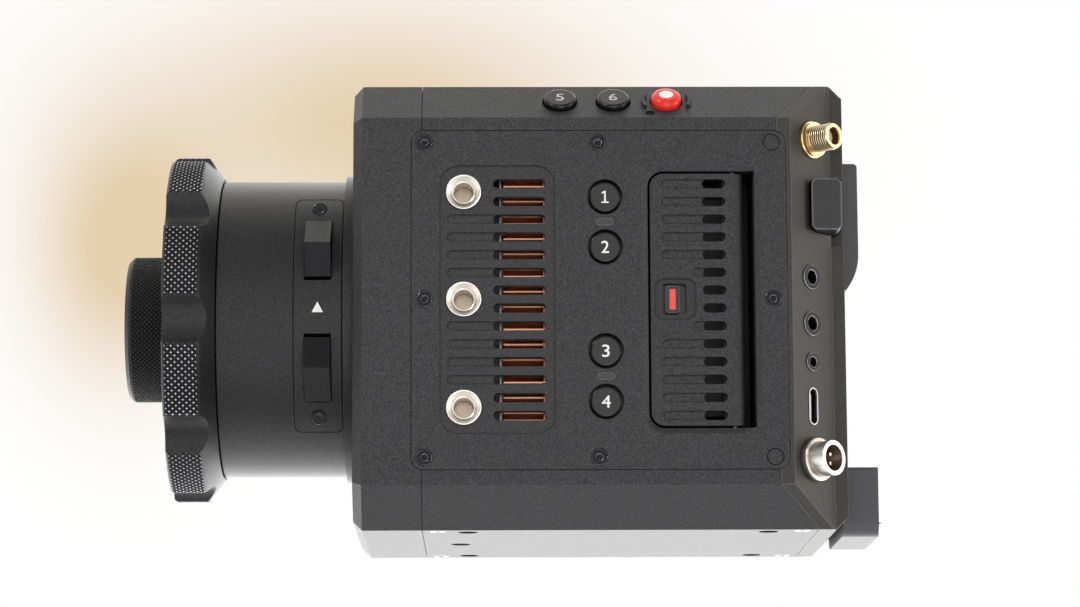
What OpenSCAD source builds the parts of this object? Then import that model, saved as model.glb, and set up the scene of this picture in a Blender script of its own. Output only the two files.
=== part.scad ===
// Digital cinema camera body with its lens adapter, filter tray and battery fittings.
// The lens looks along -X, the operator's side is -Y and +Z is up.
// The origin is the middle of the base face, and all lengths are in millimetres.

/* [Body] */
// Length of the body from its front face to its rear face
body_l = 124.5; // [120:0.5:140]
// Width of the body across its two side covers
body_w = 92; // [88:1:110]
// Height of the body from base to top
body_h = 113.8; // [110:0.2:130]
// Height of the lens axis above the base
axis_h = 56.7; // [54:0.1:60]
// Leg of the bevel along the four long edges
edge_bevel = 10.3; // [8:0.1:11.5]
// Leg of the bevel round the front face
front_bevel = 2.3; // [1:0.1:3.5]
// Leg of the slanted rear edges that carry the ports
port_bevel = 10.95; // [9.5:0.05:12]
// Thickness of the plain plate behind the slanted edges
rear_plate_t = 3.2; // [2.4:0.1:4]
// Wall of the housing
wall = 3.5; // [3:0.1:4.5]
// Thickness of the front wall behind the lens mount
front_wall = 7; // [5.5:0.25:7.5]
// Length of the front frame, from the front face to its seam
frame_l = 17.25; // [15.5:0.25:18]
// Thickness of the slanted port panel, square to its face
port_wall = 2.55; // [2:0.05:3.2]
// Thickness of the rear wall
rear_wall = 4; // [3.4:0.1:6]

/* [Side covers] */
// Distance from the front face to the covers' front edge
cover_start = 14.75; // [13:0.25:15.5]
// Flat strip between a side cover and the slanted port panel
cover_rear_margin = 1.2; // [0.8:0.1:2]
// Flat strip between a side cover and the bevels above and below it
cover_margin = 3.6; // [2.8:0.1:4.4]
// Corner radius of a side cover
cover_r = 3.2; // [2:0.1:4]
// Thickness of a side cover, flush with the body
cover_t = 3; // [2.6:0.1:3.4]
// Seam round a side cover
cover_gap = 0.15; // [0.1:0.05:0.3]
// Thickness of the ledge that carries a side cover
ledge_t = 2; // [1.5:0.1:2.4]

/* [Front vent] */
// Distance from the front face to the vent panel
vent_start = 21.8; // [21:0.1:23]
// Length of the vent panel
vent_l = 29.05; // [28:0.05:31]
// Height of the cover above and below the vent panel
vent_margin = 8.9; // [7:0.1:10]
// Corner radius of the vent panel
vent_r = 4.7; // [3:0.1:6]
// Rows of slots in the vent and in the door
slot_rows = 14; // [12:2:14]
// Distance from the door's ends to the middle of the last row of slots
slot_margin = 3.2; // [2.6:0.1:4.4]
// Height of a slot
slot_h = 2.35; // [1.8:0.05:2.8]
// Distance from the front face to the slots
slot_start = 35.25; // [34.5:0.05:36]
// Length of a slot
slot_l = 13.2; // [11:0.1:14]

/* [Threaded inserts] */
// Distance from the front face to the row of inserts
insert_x = 27.85; // [27.5:0.05:28.2]
// Distance between two inserts
insert_pitch = 27.35; // [26:0.05:28]
// Diameter of an insert's bright rim
insert_d = 8.8; // [8:0.1:9.2]
// Bore of a quarter-inch thread
thread_d = 5.1; // [4.9:0.1:5.3]

/* [Buttons] */
// Distance from the front face to the column of side buttons
button_x = 63.4; // [63:0.1:63.8]
// Height of the inner pair of side buttons from the middle of the side
button_inner_z = 13.2; // [12.6:0.1:13.6]
// Height of the outer pair of side buttons from the middle of the side
button_outer_z = 26; // [25.4:0.1:26.6]
// Diameter of a side button's cap
button_d = 7.8; // [7:0.1:8.2]
// Diameter of the hole round a side button
button_hole_d = 9; // [8.6:0.1:9.4]
// Travel of a button
button_travel = 0.8; // [0.4:0.1:0.8]
// Diameter of a button on the top bevel
top_button_d = 8.3; // [7.6:0.1:8.8]
// Distance from the front face to the first button on the bevel
top_button_x = 52.3; // [51:0.1:53]
// Distance between two buttons on the bevel
top_button_pitch = 13.5; // [12.8:0.1:14]
// Diameter of the record button
record_d = 7.8; // [7:0.1:8.2]

/* [Media door] */
// Distance from the front face to the door opening
door_start = 74.15; // [74:0.05:74.6]
// Length of the door opening
door_l = 26.85; // [26.2:0.05:27]
// Height of the cover above and below the door opening
door_margin = 10.35; // [9.6:0.05:11]
// Radius of the corners at the door's free edge
door_r = 4; // [3:0.1:5]
// Thickness of the door
door_t = 1.8; // [1.5:0.1:1.9]
// Depth of the door's face below the side cover
door_sink = 0.8; // [0.5:0.1:0.9]
// Distance from the front face to the hinge axis
hinge_x = 95.65; // [95.3:0.05:95.8]
// Diameter of the hinge pin
hinge_pin_d = 1.5; // [1.2:0.1:1.6]
// Travel of the door latch
latch_travel = 1.5; // [0.8:0.1:1.5]

/* [Lens mount] */
// Distance from the lens flange to the sensor
flange_distance = 52; // [51.5:0.1:52.5]
// Distance from the front face to the sensor's surface
sensor_depth = 9.5; // [9.2:0.1:9.8]
// Diameter of the throat
throat_d = 54; // [52:0.5:55]
// Diameter of the raised mount ring on the front face
mount_ring_d = 80.4; // [79:0.2:84]
// Length of the raised mount ring
mount_ring_l = 2.75; // [2:0.05:2.8]
// Diameter of the adapter barrel
barrel_d = 77.5; // [76.5:0.1:78]
// Diameter of the locking ring over its lobes
ring_d = 90; // [88:0.5:94]
// Length of the locking ring
ring_l = 13.05; // [12.8:0.05:13.3]
// Number of lobes on the locking ring
ring_lobes = 9; // [7:1:11]
// Diameter of the body cap's knob
cap_knob_d = 37.7; // [34:0.1:42]
// Length of the body cap's knob in front of the locking ring
cap_knob_l = 11.75; // [8:0.25:16]

/* [Filter tray] */
// Distance from the front face to the near edge of the tray's end plate
tray_start = 3.05; // [3:0.05:3.4]
// Width of the tray's end plate along the lens axis
tray_w = 12.1; // [11.6:0.1:12.4]
// Height of the tray's end plate
tray_h = 59.9; // [57:0.1:60.5]
// Diameter of the filter glass
filter_d = 44; // [40:0.5:44]
// Travel of a pinch tab
tab_travel = 0.8; // [0.4:0.1:0.8]

/* [Battery fittings] */
// Width of the battery receiver and of the contact block
receiver_w = 40; // [36:0.5:44]
// Height of the battery receiver
receiver_h = 33.3; // [32:0.1:36]
// Height of the battery receiver's lower end above the base
receiver_z = 63.5; // [60:0.5:66]
// Thickness of the battery receiver
receiver_t = 5.2; // [5:0.1:6.5]
// Height of the contact block
contact_h = 17.7; // [16:0.1:20]
// Thickness of the contact block
contact_t = 9.2; // [8:0.1:11]
// Travel of the battery release button
release_travel = 2.5; // [1:0.1:2.5]

/* [Base] */
// Distance from the front face to the front pair of base holes
base_hole_x = 28.8; // [28:0.1:32]
// Distance between the front and the rear pair of base holes
base_hole_l = 75.8; // [74:0.1:76]
// Distance between the left and the right row of base holes
base_hole_w = 61; // [58:0.5:62]
// Distance from the front face to the tripod hole
tripod_x = 26.7; // [26:0.1:28]

/* [Hidden] */
$fn = 96;

// Datums and general clearances
front_x = -body_l / 2;
rear_x = body_l / 2;
left_y = -body_w / 2;
over = 0.5;
run_gap = 0.3;
slide_gap = 0.05;
root2 = sqrt(2);
side_rise = 0.2;
side_h = body_h / 2 + side_rise;

// Seam between the main housing and the rear cover
port_x = body_l - rear_plate_t - port_bevel;
seam_shift = port_wall * root2;
seam_x = port_x - seam_shift;
seam_stand = 0.75;
seam_gap = 0.15;
seam_end_x = body_l - rear_plate_t - wall - seam_stand;
seam_run = seam_end_x - seam_x;

// Side covers and the pattern of slots in them
cover_l = port_x - cover_rear_margin - cover_start;
cover_h = body_h - 2 * edge_bevel - 2 * cover_margin;
vent_h = cover_h - 2 * vent_margin;
door_h = cover_h - 2 * door_margin;
slot_pitch = (door_h - 2 * slot_margin) / (slot_rows - 1);

// Cover screws, plugs and their seats
screw_x1 = 18;
screw_x2 = 61.65;
screw_x3 = 105.5;
screw_inset = 3.05;
screw_z = cover_h / 2 - screw_inset;
screw_head_d = 3.9;
screw_seat_d = 4.3;
screw_head_t = 1.6;
screw_shank_d = 2;
screw_l = 5;
screw_hex_d = 2;
screw_hex_t = 1;
plug_t = 2;
window_x1 = 22;
window_x2 = 102.5;
ledge_w = 7;
window_h = cover_h - 2 * ledge_w;
window_r = 3;

// Reliefs in the vent and the door
vent_sink = 0.35;
relief_sink = 0.4;
relief_start = 23.65;
relief_first = 2;
relief_last = 5;
door_relief_start = 77.6;
door_short_start = 85.25;
door_slot_start = 87.95;
door_slot_l = 5.8;
door_short_row = 5;

// Inserts
insert_flange_d = 11;
insert_flange_t = 3;
insert_mouth_d = 8.2;
insert_throat_d = 5.7;
insert_cone_t = 1.3;
insert_barrel_d = 7.8;
insert_bore_t = 8.6;
insert_floor_t = 1;

// Buttons
button_edge = 0.5;
button_sink = 0.1;
button_cap_t = 3.2;
button_flange_d = 10.2;
button_flange_t = 0.8;
switch_w = 3.6;
switch_t = 1;
board_t = 1.2;
board_depth = 6;
button_board_w = 7.3;
post_d = 3.6;
button_board_h = 2 * (button_outer_z + button_flange_d / 2 + run_gap + post_d);
window_mark_z = 19.6;
window_mark_l = 4.5;
window_mark_h = 1.8;
window_mark_t = 2.6;
top_button_proud = 1.5;
top_button_edge = 0.7;
record_proud = 2.3;
record_edge = 1.6;
guard_r1 = 5.5;
guard_r2 = 6.3;
guard_t = 0.9;
guard_angle = 26;
lamp_d = 2.4;
lamp_sink = 0.6;
lamp_dx = -4.2;
lamp_dy = -5.2;

// Door, hinge and latch
door_rim = 1.4;
door_gap = 0.6;
hinge_depth = 3.4;
roll_r = hinge_depth - door_sink;
hinge_boss_w = 6;
hinge_boss_h = 3;
hinge_boss_t = 3;
latch_x = 80.95;
latch_pocket_w = 10.5;
latch_pocket_r = 2.3;
latch_pocket_sink = 0.5;
latch_slot_x = 80.75;
latch_play = 0.45;
latch_slot_h = 8;
latch_slot_r = 0.8;
knob_x = 80.27;
knob_w = 3.6;
latch_slot_w = knob_w + latch_travel + 2 * latch_play;
knob_h = 7.1;
knob_r = 0.9;
knob_sink = 0.35;
latch_tip_x = 74.9;
latch_plate_w = 10.1;
latch_plate_h = 10;
latch_plate_t = 0.8;
latch_gap = 0.15;

// Media bay and module
bay_x1 = 72.6;
bay_x2 = 102.2;
bay_rim = 2.35;
bay_h = door_h + 2 * bay_rim;
bay_wall = 1.2;
bay_depth = 6.3;
module_w = 20;
module_inset = 4.65;
module_h = door_h - 2 * module_inset;
module_t = 10.5;
module_r = 1.5;

// Chassis and heat sink
chassis_depth = 26;
chassis_t = 2;
chassis_x1 = 19;
chassis_x2 = 112;
spreader_x = 36.9;
spreader_t = 0.4;
fins = 36;
fin_pitch = 1.927;
fin_shift = -0.19;
fin_t = 0.45;
fin_end_t = 0.4;
fin_x = 37.85;
fin_l = 10.45;
fin_depth = 5.3;
sink_base_t = 3;
fan_x = 57;
fan_l = 10;
fan_w = 38;
fan_depth = 7.6;
fan_bore_d = 35.4;
fan_hub_d = 14;
fan_hub_l = 8;
fan_blades = 7;
fan_blade_t = 1;
fan_blade_l = 6;
fan_blade_turn = 40;
fan_stay_w = 2;
fan_stay_t = 1.2;
fan_web_d = 15;
fan_shaft_d = 2;
fan_tip_gap = 0.6;
fan_corner_r = 2;

// Boards
main_board_x1 = 24;
main_board_x2 = 108;
board_inset = 12.9;
main_board_h = body_h - 2 * board_inset;
main_board_stand = 3;
chip_w = 24;
chip_t = 2;
memory_w = 10;
power_board_x = 112.5;
power_board_t = 1.6;
power_board_w = 52;
power_board_inset = 14.9;
power_board_h = body_h - 2 * power_board_inset;
power_board_y = 10;
rear_pocket_w = 62;
rear_pocket_inset = 8.9;
rear_pocket_h = body_h - 2 * rear_pocket_inset;
rear_post_d = 5;
io_board_z1 = 12;
io_board_inset = 10.8;
io_board_z2 = body_h - io_board_inset;
io_board_s1 = -3.6;
io_board_s2 = 6.4;
io_depth = 11;

// Base and top holes with their bosses, and the seam screws
hole_boss_d = 10;
hole_depth = 9;
hole_boss_l = 7;
tripod_depth = 9;
seam_screw_x1 = 21.2;
seam_screw_x2 = 113;
seam_screw_y = 32.5;
seam_screw_d = 4;
seam_screw_t = 1.4;
seam_screw_l = 3;

// Lens mount
seat_x = front_x + sensor_depth - flange_distance;
seat_t = 1.2;
seat_pin_d = 1.6;
seat_pin_l = 1;
seat_pin_r = 31.7;
seat_pin_angle = 45;
ring_reach = 5.5;
ring_front_x = seat_x - ring_reach;
ring_rear_x = ring_front_x + ring_l;
ring_rear_d = 79;
ring_cone_l = 3.5;
ring_heel = 0.8;
ring_chamfer = 0.5;
scallop_r = 8;
scallop_depth = 3;
scallop_phase = 5.5;
ring_lip_t = 2.4;
ring_lip_d = 61;
lug_d = 67.6;
lug_count = 4;
lug_angle = 50;
lug_gap_angle = 5;
neck_d = 71;
cap_disc_d = 60;
cap_disc_front = 1;
cap_lug_t = 2.6;
cap_lug_gap = 0.5;
cap_skirt_wall = 2;
cap_skirt_l = 5;
cap_edge = 1;
cap_dish_d = 30;
cap_dish_t = 0.8;
cap_seat_gap = 0.2;

// Filter tray
tray_plate_t = 2.55;
tray_plate_r = 1.5;
tray_drop = 0.2;
tray_plate_gap = 0.15;
tray_frame_t = 9;
tray_frame_inset = 2.45;
tray_frame_h = tray_h - 2 * tray_frame_inset;
tray_frame_end = 24.3;
tray_ledge = 1;
filter_t = 2;
tab_w = 6.6;
tab_z1 = 7.75;
tab_z2 = 23.2;
tab_ridge_z = 16;
tab_ridge_y = 41.4;
tab_low_y = 38.2;
tab_high_y = 32.2;
tab_root_y = 27.6;
tab_gap = 0.1;
tray_screw_inset = 3.05;
tray_screw_z = tray_h / 2 - tray_screw_inset;
tray_screw_d = 3.6;
tray_screw_t = 1.4;
tray_screw_seat = 1.2;
tray_screw_shank_d = 1.8;
tray_screw_shank_l = 3;

// Sensor stack
carrier_w = 62;
carrier_h = 50;
carrier_t = 5;
sensor_hole_w = 44;
sensor_hole_h = 33;
sensor_glass_t = 1.5;
sensor_w = 40;
sensor_h = 28;
sensor_board_w = 64;
sensor_board_h = 54;
sensor_board_t = 1.6;
sensor_gap = 0.1;
carrier_r = 3;

// Battery receiver, latch, release button and contacts
receiver_nose_h = 9.5;
receiver_nose_t = 3.4;
receiver_edge = 1;
wedge_top_w = 30;
wedge_low_w = 22;
wedge_h = 25;
wedge_depth = 4.6;
wedge_lip_t = 1.6;
wedge_lip = 2;
pawl_w = 8;
pawl_h = 5;
pawl_z = 13.5;
pawl_in = 3.4;
pawl_out = 3.6;
pawl_nose = 1.4;
pawl_ramp = 0.8;
release_x = 115.85;
release_w = 7.6;
release_z = 18.2;
release_h = 13.2;
release_r = 1.5;
release_depth = 3.5;
release_l = 18.5;
release_gap = 0.2;
notch_z = 15.3;
notch_h = 17.7;
notch_t = 2;
contact_round = 3.7;
contact_edge = 1;
contact_slots = 5;
contact_pitch = 6;
contact_slot_w = 2.4;
contact_slot_h = 8;
contact_slot_t = 5;
contact_z = 5;
blade_w = 1;
blade_h = 7;
foot_pin_d = 1.6;
foot_pin_z = 3.2;
foot_pin_l = 0.8;

// Ports on the slanted panel, by their height from the middle of the side
port_shift = -0.4;
antenna_z = 41.7;
antenna_shift = 0.5;
antenna_d = 6.35;
antenna_l = 7.6;
antenna_washer_d = 9.4;
antenna_washer_t = 0.7;
antenna_nut_d = 8.9;
antenna_nut_t = 0.9;
antenna_bore_d = 4.6;
antenna_bore_t = 4;
antenna_inside_l = 4;
antenna_inside_d = 7.6;
antenna_pin_d = 1;
antenna_core_t = 1.5;
mic_z = 6.25;
headphone_z = -5.6;
jack_ring_d = 6.3;
jack_hole_d = 3.6;
jack_body_d = 7.4;
remote_z = -15.4;
remote_ring_d = 4.8;
remote_hole_d = 2.6;
remote_body_d = 5.6;
jack_proud = 0.3;
jack_l = 10.9;
jack_floor = 1;
fit_gap = 0.05;
usb_z = -26.6;
usb_h = 9.5;
usb_w = 3.5;
usb_wall = 0.35;
usb_proud = 0.15;
usb_tongue_w = 0.7;
usb_tongue_h = 6.6;
usb_tongue_sink = 1;
usb_floor = 1;
power_z = -40.1;
power_shift = 0;
power_flange_d = 11;
power_flange_t = 1.9;
power_flange_edge = 0.5;
power_neck_d = 8.8;
power_l = 6.1;
power_bore_d = 6.6;
power_bore_t = 5.2;
power_inside_d = 7.6;
power_inside_l = 7;
power_pins = 4;
power_pin_d = 0.9;
power_pin_r = 1.6;
power_pin_l = 3.1;
power_pin_angle = 45;

// Colours of the finishes
black_metal = [0.2, 0.2, 0.21];
warm_black = [0.22, 0.21, 0.2];
dark_plastic = [0.08, 0.08, 0.09];
copper = [0.8, 0.42, 0.28];
nickel = [0.8, 0.79, 0.76];
gold = [0.85, 0.68, 0.32];
steel = [0.6, 0.6, 0.62];
board_green = [0.05, 0.22, 0.12];
record_red = [0.91, 0.27, 0.23];
glass_tint = [0.6, 0.75, 0.8, 0.4];

function from_front(d) = front_x + d;
function row_z(i) = ((slot_rows - 1) / 2 - i) * slot_pitch;

// Flat helpers
module rounded(w, h, r) {
    square([w - 2 * r, h], center = true);
    square([w, h - 2 * r], center = true);
    for (x = [-1, 1], y = [-1, 1])
        translate([x * (w / 2 - r), y * (h / 2 - r)]) circle(r);
}

module stadium(w, h) {
    square([w - h, h], center = true);
    for (x = [-1, 1])
        translate([x * (w - h) / 2, 0]) circle(d = h);
}

module octagon(w, h, bevel) {
    polygon([[-w / 2, -h / 2 + bevel], [-w / 2 + bevel, -h / 2], [w / 2 - bevel, -h / 2],
        [w / 2, -h / 2 + bevel], [w / 2, h / 2 - bevel], [w / 2 - bevel, h / 2],
        [-w / 2 + bevel, h / 2], [-w / 2, h / 2 - bevel]]);
}

module sector(r, angle) {
    polygon([[0, 0], r * [cos(-angle / 2), sin(-angle / 2)], r * [1, tan(-angle / 4)],
        r * [1, tan(angle / 4)], r * [cos(angle / 2), sin(angle / 2)]]);
}

// Placing helpers: a flat shape in X and Z set into the left face at a depth,
// one in Y and Z pushed along X, and a turned shape about the lens axis
module in_left(depth, t) {
    translate([0, left_y + depth + t, 0]) rotate([90, 0, 0]) linear_extrude(t) children();
}

module along_x(x, l) {
    translate([x, 0, 0]) rotate([90, 0, 90]) linear_extrude(l) children();
}

module at_side(d, z) {
    translate([from_front(d), side_h + z]) children();
}

module disc_x(x, l, d) {
    translate([x, 0, axis_h]) rotate([0, 90, 0]) cylinder(h = l, d = d);
}

module turned_x() {
    translate([0, 0, axis_h]) rotate([0, 90, 0]) rotate_extrude() children();
}

module on_top_bevel(d) {
    translate([from_front(d), left_y + edge_bevel / 2, body_h - edge_bevel / 2])
        rotate([45, 0, 0]) children();
}

module on_port_panel(z, shift) {
    translate([from_front(port_x + port_bevel / 2), left_y + port_bevel / 2, side_h + z])
        rotate([90, 0, 45]) translate([shift, 0, 0]) children();
}

module round_edge_cap(d, h, edge) {
    rotate_extrude() {
        square([d / 2 - edge, h]);
        square([d / 2, h - edge]);
        translate([d / 2 - edge, h - edge]) circle(edge);
    }
}

module hex_screw(head_d, head_t, shank_d, shank_l) {
    difference() {
        union() {
            cylinder(h = head_t, d = head_d);
            translate([0, 0, -shank_l]) cylinder(h = shank_l, d = shank_d);
        }
        translate([0, 0, head_t - screw_hex_t]) cylinder(h = screw_hex_t + over, d = screw_hex_d, $fn = 6);
    }
}

// The whole outer form: every bevel cut from one block
module body_plan() {
    half = body_w / 2;
    polygon([[0, -half + front_bevel], [front_bevel, -half], [port_x, -half],
        [port_x + port_bevel, -half + port_bevel], [body_l, -half + port_bevel],
        [body_l, half - port_bevel], [port_x + port_bevel, half - port_bevel],
        [port_x, half], [front_bevel, half], [0, half - front_bevel]]);
}

module body_side(reach) {
    polygon([[0, -reach + front_bevel], [front_bevel, -reach], [body_l - rear_plate_t, -reach],
        [body_l, -reach + rear_plate_t], [body_l, reach - rear_plate_t],
        [body_l - rear_plate_t, reach], [front_bevel, reach], [0, reach - front_bevel]]);
}

module body_blank() {
    slant = (body_w + body_h - 2 * edge_bevel) / (2 * root2);
    intersection() {
        translate([front_x, 0, body_h / 2]) rotate([90, 0, 90]) linear_extrude(body_l)
            octagon(body_w, body_h, edge_bevel);
        translate([front_x, 0, 0]) linear_extrude(body_h) body_plan();
        translate([front_x, body_w / 2, body_h / 2]) rotate([90, 0, 0]) linear_extrude(body_w)
            body_side(body_h / 2);
        for_slant(45) slant_cut(slant);
        for_slant(-45) slant_cut(slant);
    }
}

module for_slant(angle) {
    translate([front_x, 0, body_h / 2]) rotate([angle, 0, 0]) children();
}

module slant_cut(slant) {
    translate([0, body_h, 0]) rotate([90, 0, 0]) linear_extrude(2 * body_h)
        polygon([[0, -slant + front_bevel], [front_bevel, -slant], [body_l, -slant],
            [body_l, slant], [front_bevel, slant], [0, slant - front_bevel]]);
}

module cavity(x1, x2) {
    inner_bevel = edge_bevel - wall * (2 - root2);
    side_wall = cover_t + ledge_t;
    translate([from_front(x1), 0, body_h / 2]) rotate([90, 0, 90]) linear_extrude(x2 - x1)
        intersection() {
            octagon(body_w - 2 * wall, body_h - 2 * wall, inner_bevel);
            square([body_w - 2 * side_wall, body_h], center = true);
        }
}

// The rear cover's share of the body; grown by the seam's gap, it is what the main housing leaves free
module rear_zone(gap) {
    half = body_w / 2;
    reach = half + over;
    translate([front_x, 0, -over]) linear_extrude(body_h + 2 * over)
        polygon([[seam_x - over - gap, -reach], [seam_end_x - gap, seam_run - half],
            [seam_end_x - gap, half - seam_run], [seam_x - over - gap, reach],
            [body_l + over, reach], [body_l + over, -reach]]);
}

module cover_outline(grow) {
    at_side(cover_start + cover_l / 2, 0) rounded(cover_l + 2 * grow, cover_h + 2 * grow, cover_r + grow);
}

module cover_window() {
    at_side((window_x1 + window_x2) / 2, 0) rounded(window_x2 - window_x1, window_h, window_r);
}

module both_sides() {
    children();
    mirror([0, 1, 0]) children();
}

module left_screw_places() {
    for (p = [[screw_x1, screw_z], [screw_x1, 0], [screw_x1, -screw_z],
            [screw_x2, screw_z], [screw_x2, -screw_z], [screw_x3, 0]])
        translate([from_front(p[0]), left_y, side_h + p[1]]) rotate([90, 0, 0]) children();
}

module plug_places() {
    for (z = [-screw_z, screw_z])
        translate([from_front(screw_x3), left_y, side_h + z]) rotate([90, 0, 0]) children();
}

module cover_cuts() {
    both_sides() {
        translate([0, -over, 0]) in_left(0, cover_t + over) cover_outline(cover_gap);
        in_left(0, cover_t + ledge_t + over) cover_window();
        left_screw_places() translate([0, 0, -cover_t - ledge_t - over])
            cylinder(h = cover_t + ledge_t + over, d = screw_shank_d + 2 * slide_gap);
        plug_places() translate([0, 0, -cover_t - ledge_t - over])
            cylinder(h = cover_t + ledge_t + over, d = screw_shank_d + 2 * slide_gap);
    }
}

module seam_screw_places() {
    for (d = [seam_screw_x1, seam_screw_x2], y = [-seam_screw_y, seam_screw_y]) {
        translate([from_front(d), y, 0]) rotate([180, 0, 0]) children();
        translate([from_front(d), y, body_h]) children();
    }
}

module seam_screw_cuts() {
    seam_screw_places() {
        translate([0, 0, -seam_screw_t]) cylinder(h = seam_screw_t + over, d = seam_screw_d + 2 * slide_gap);
        translate([0, 0, -seam_screw_t - seam_screw_l])
            cylinder(h = seam_screw_l + over, d = screw_shank_d + 2 * slide_gap);
    }
}

module base_hole_places() {
    for (d = [base_hole_x, base_hole_x + base_hole_l], y = [-base_hole_w / 2, base_hole_w / 2]) {
        translate([from_front(d), y, 0]) children();
        translate([from_front(d), y, body_h]) rotate([180, 0, 0]) children();
    }
}

// A lip behind the ends of both side covers, between the two channels of the housing
module cover_lip(x1, x2) {
    both_sides() in_left(cover_t, ledge_t) at_side((x1 + x2) / 2, 0)
        square([x2 - x1, window_h - 2 * seam_gap], center = true);
}

// Front frame: the front wall with the throat, and a short skirt back to its seam
module front_frame() {
    color(black_metal) difference() {
        union() {
            intersection() {
                body_blank();
                translate([front_x, left_y, 0]) cube([frame_l, body_w, body_h]);
            }
            cover_lip(frame_l - over, window_x1);
        }
        cavity(front_wall, frame_l + over);
        disc_x(front_x - over, front_wall + 2 * over, throat_d);
        cover_cuts();
    }
}

// The housing's two channels; the side covers close the long windows between them
module housing_channel(z1, z2) {
    difference() {
        intersection() {
            body_blank();
            translate([from_front(frame_l + seam_gap), left_y, z1]) cube([body_l, body_w, z2 - z1]);
        }
        rear_zone(seam_gap);
        port_rooms();
        difference() {
            cavity(frame_l - over, body_l);
            base_hole_places() cylinder(h = wall + hole_boss_l, d = hole_boss_d);
            translate([from_front(tripod_x), 0, 0]) cylinder(h = wall + hole_boss_l, d = hole_boss_d);
        }
        cover_cuts();
        both_sides() in_left(cover_t - over, ledge_t + 2 * over) at_side(body_l / 2, 0)
            square([body_l, window_h], center = true);
        seam_screw_cuts();
        base_hole_places() translate([0, 0, -over]) cylinder(h = hole_depth + over, d = thread_d);
        translate([from_front(tripod_x), 0, -over]) cylinder(h = tripod_depth + over, d = thread_d);
    }
}

// Main housing: the upper channel, with the holes of the buttons on its bevel
module main_housing() {
    room = run_gap + button_flange_t + button_travel + run_gap;
    room_w = top_button_d + 2 * button_flange_t + 2 * run_gap;
    color(black_metal) {
        difference() {
            housing_channel(side_h, body_h);
            on_top_bevel(top_button_x + top_button_pitch) translate([0, 0, -wall - room / 2])
                cube([2 * top_button_pitch + room_w, room_w, room], center = true);
            for (i = [0, 1])
                on_top_bevel(top_button_x + i * top_button_pitch) bevel_button_hole(top_button_d);
            on_top_bevel(top_button_x + 2 * top_button_pitch) {
                bevel_button_hole(record_d);
                translate([lamp_dx, lamp_dy, -lamp_sink]) cylinder(h = lamp_sink + over, d = lamp_d);
            }
        }
        on_top_bevel(top_button_x + 2 * top_button_pitch)
            for (turn = [0, 180])
                rotate([0, 0, turn]) linear_extrude(guard_t) intersection() {
                    difference() {
                        circle(guard_r2);
                        circle(guard_r1);
                    }
                    sector(guard_r2 + over, 2 * guard_angle);
                }
    }
}

// Base housing: the lower channel, with the tripod and base plate holes
module base_housing() {
    color(black_metal) housing_channel(0, side_h);
}

// Rear cover: the rear wall with its plate, and the slanted panels at both sides
module rear_cover() {
    color(warm_black) {
        difference() {
            union() {
                intersection() {
                    body_blank();
                    rear_zone(0);
                }
                difference() {
                    cover_lip(window_x2, seam_x + cover_t + ledge_t);
                    port_rooms();
                }
            }
            cover_cuts();
            translate([from_front(seam_end_x) - over, -rear_pocket_w / 2, (body_h - rear_pocket_h) / 2])
                cube([body_l - rear_wall - seam_end_x + over, rear_pocket_w, rear_pocket_h]);
            port_cuts();
            release_cuts();
            pawl_hole();
        }
        rear_posts();
    }
}

module rear_posts() {
    post_x = from_front(power_board_x + power_board_t);
    for (y = [-1, 1], z = [-1, 1])
        translate([post_x, power_board_y + y * (power_board_w / 2 - rear_post_d),
                body_h / 2 + z * (power_board_h / 2 - rear_post_d)])
            rotate([0, 90, 0]) cylinder(h = rear_x - rear_wall - post_x, d = rear_post_d);
}

module port_hole(z, shift, d) {
    on_port_panel(z, shift) translate([0, 0, -2 * port_wall - over])
        cylinder(h = 2 * port_wall + 2 * over, d = d);
}

module port_cuts() {
    port_hole(antenna_z, antenna_shift, antenna_d + 2 * fit_gap);
    port_hole(mic_z, port_shift, jack_ring_d + 2 * fit_gap);
    port_hole(headphone_z, port_shift, jack_ring_d + 2 * fit_gap);
    port_hole(remote_z, port_shift, remote_ring_d + 2 * fit_gap);
    port_hole(power_z, power_shift, power_inside_d + 2 * fit_gap);
    on_port_panel(usb_z, port_shift) translate([0, 0, -2 * port_wall - over])
        linear_extrude(2 * port_wall + 2 * over) rotate(90)
            stadium(usb_h + 2 * fit_gap, usb_w + 2 * fit_gap);
}

// Room in the main housing for the bodies behind the panel
module port_room(z, shift, d) {
    on_port_panel(z, shift) translate([0, 0, -io_depth])
        cylinder(h = io_depth - port_wall / 2, d = d + 2 * run_gap);
}

module port_rooms() {
    port_room(antenna_z, antenna_shift, antenna_inside_d);
    port_room(mic_z, port_shift, jack_body_d);
    port_room(headphone_z, port_shift, jack_body_d);
    port_room(remote_z, port_shift, remote_body_d);
    port_room(usb_z, port_shift, usb_h);
    port_room(power_z, power_shift, power_inside_d);
}

module release_cuts() {
    in_left(-over, release_depth + release_l + release_travel + run_gap + over)
        at_side(release_x + release_w / 2, release_z + release_h / 2)
            rounded(release_w + 2 * release_gap, release_h + 2 * release_gap, release_r + release_gap);
    in_left(0, port_bevel + notch_t)
        at_side(body_l - rear_plate_t / 2 + over / 2, notch_z + notch_h / 2)
            square([rear_plate_t + over, notch_h], center = true);
}

module slot_row(start, end, sink) {
    for (i = [0 : slot_rows - 1])
        translate([0, -over, 0]) in_left(0, sink + over) at_side((start + end) / 2, row_z(i))
            stadium(end - start, slot_h);
}

module relief(start, end, i, depth) {
    translate([0, -over, 0]) in_left(0, depth + over) at_side((start + end) / 2, row_z(i))
        stadium(end - start, slot_h);
}

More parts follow.
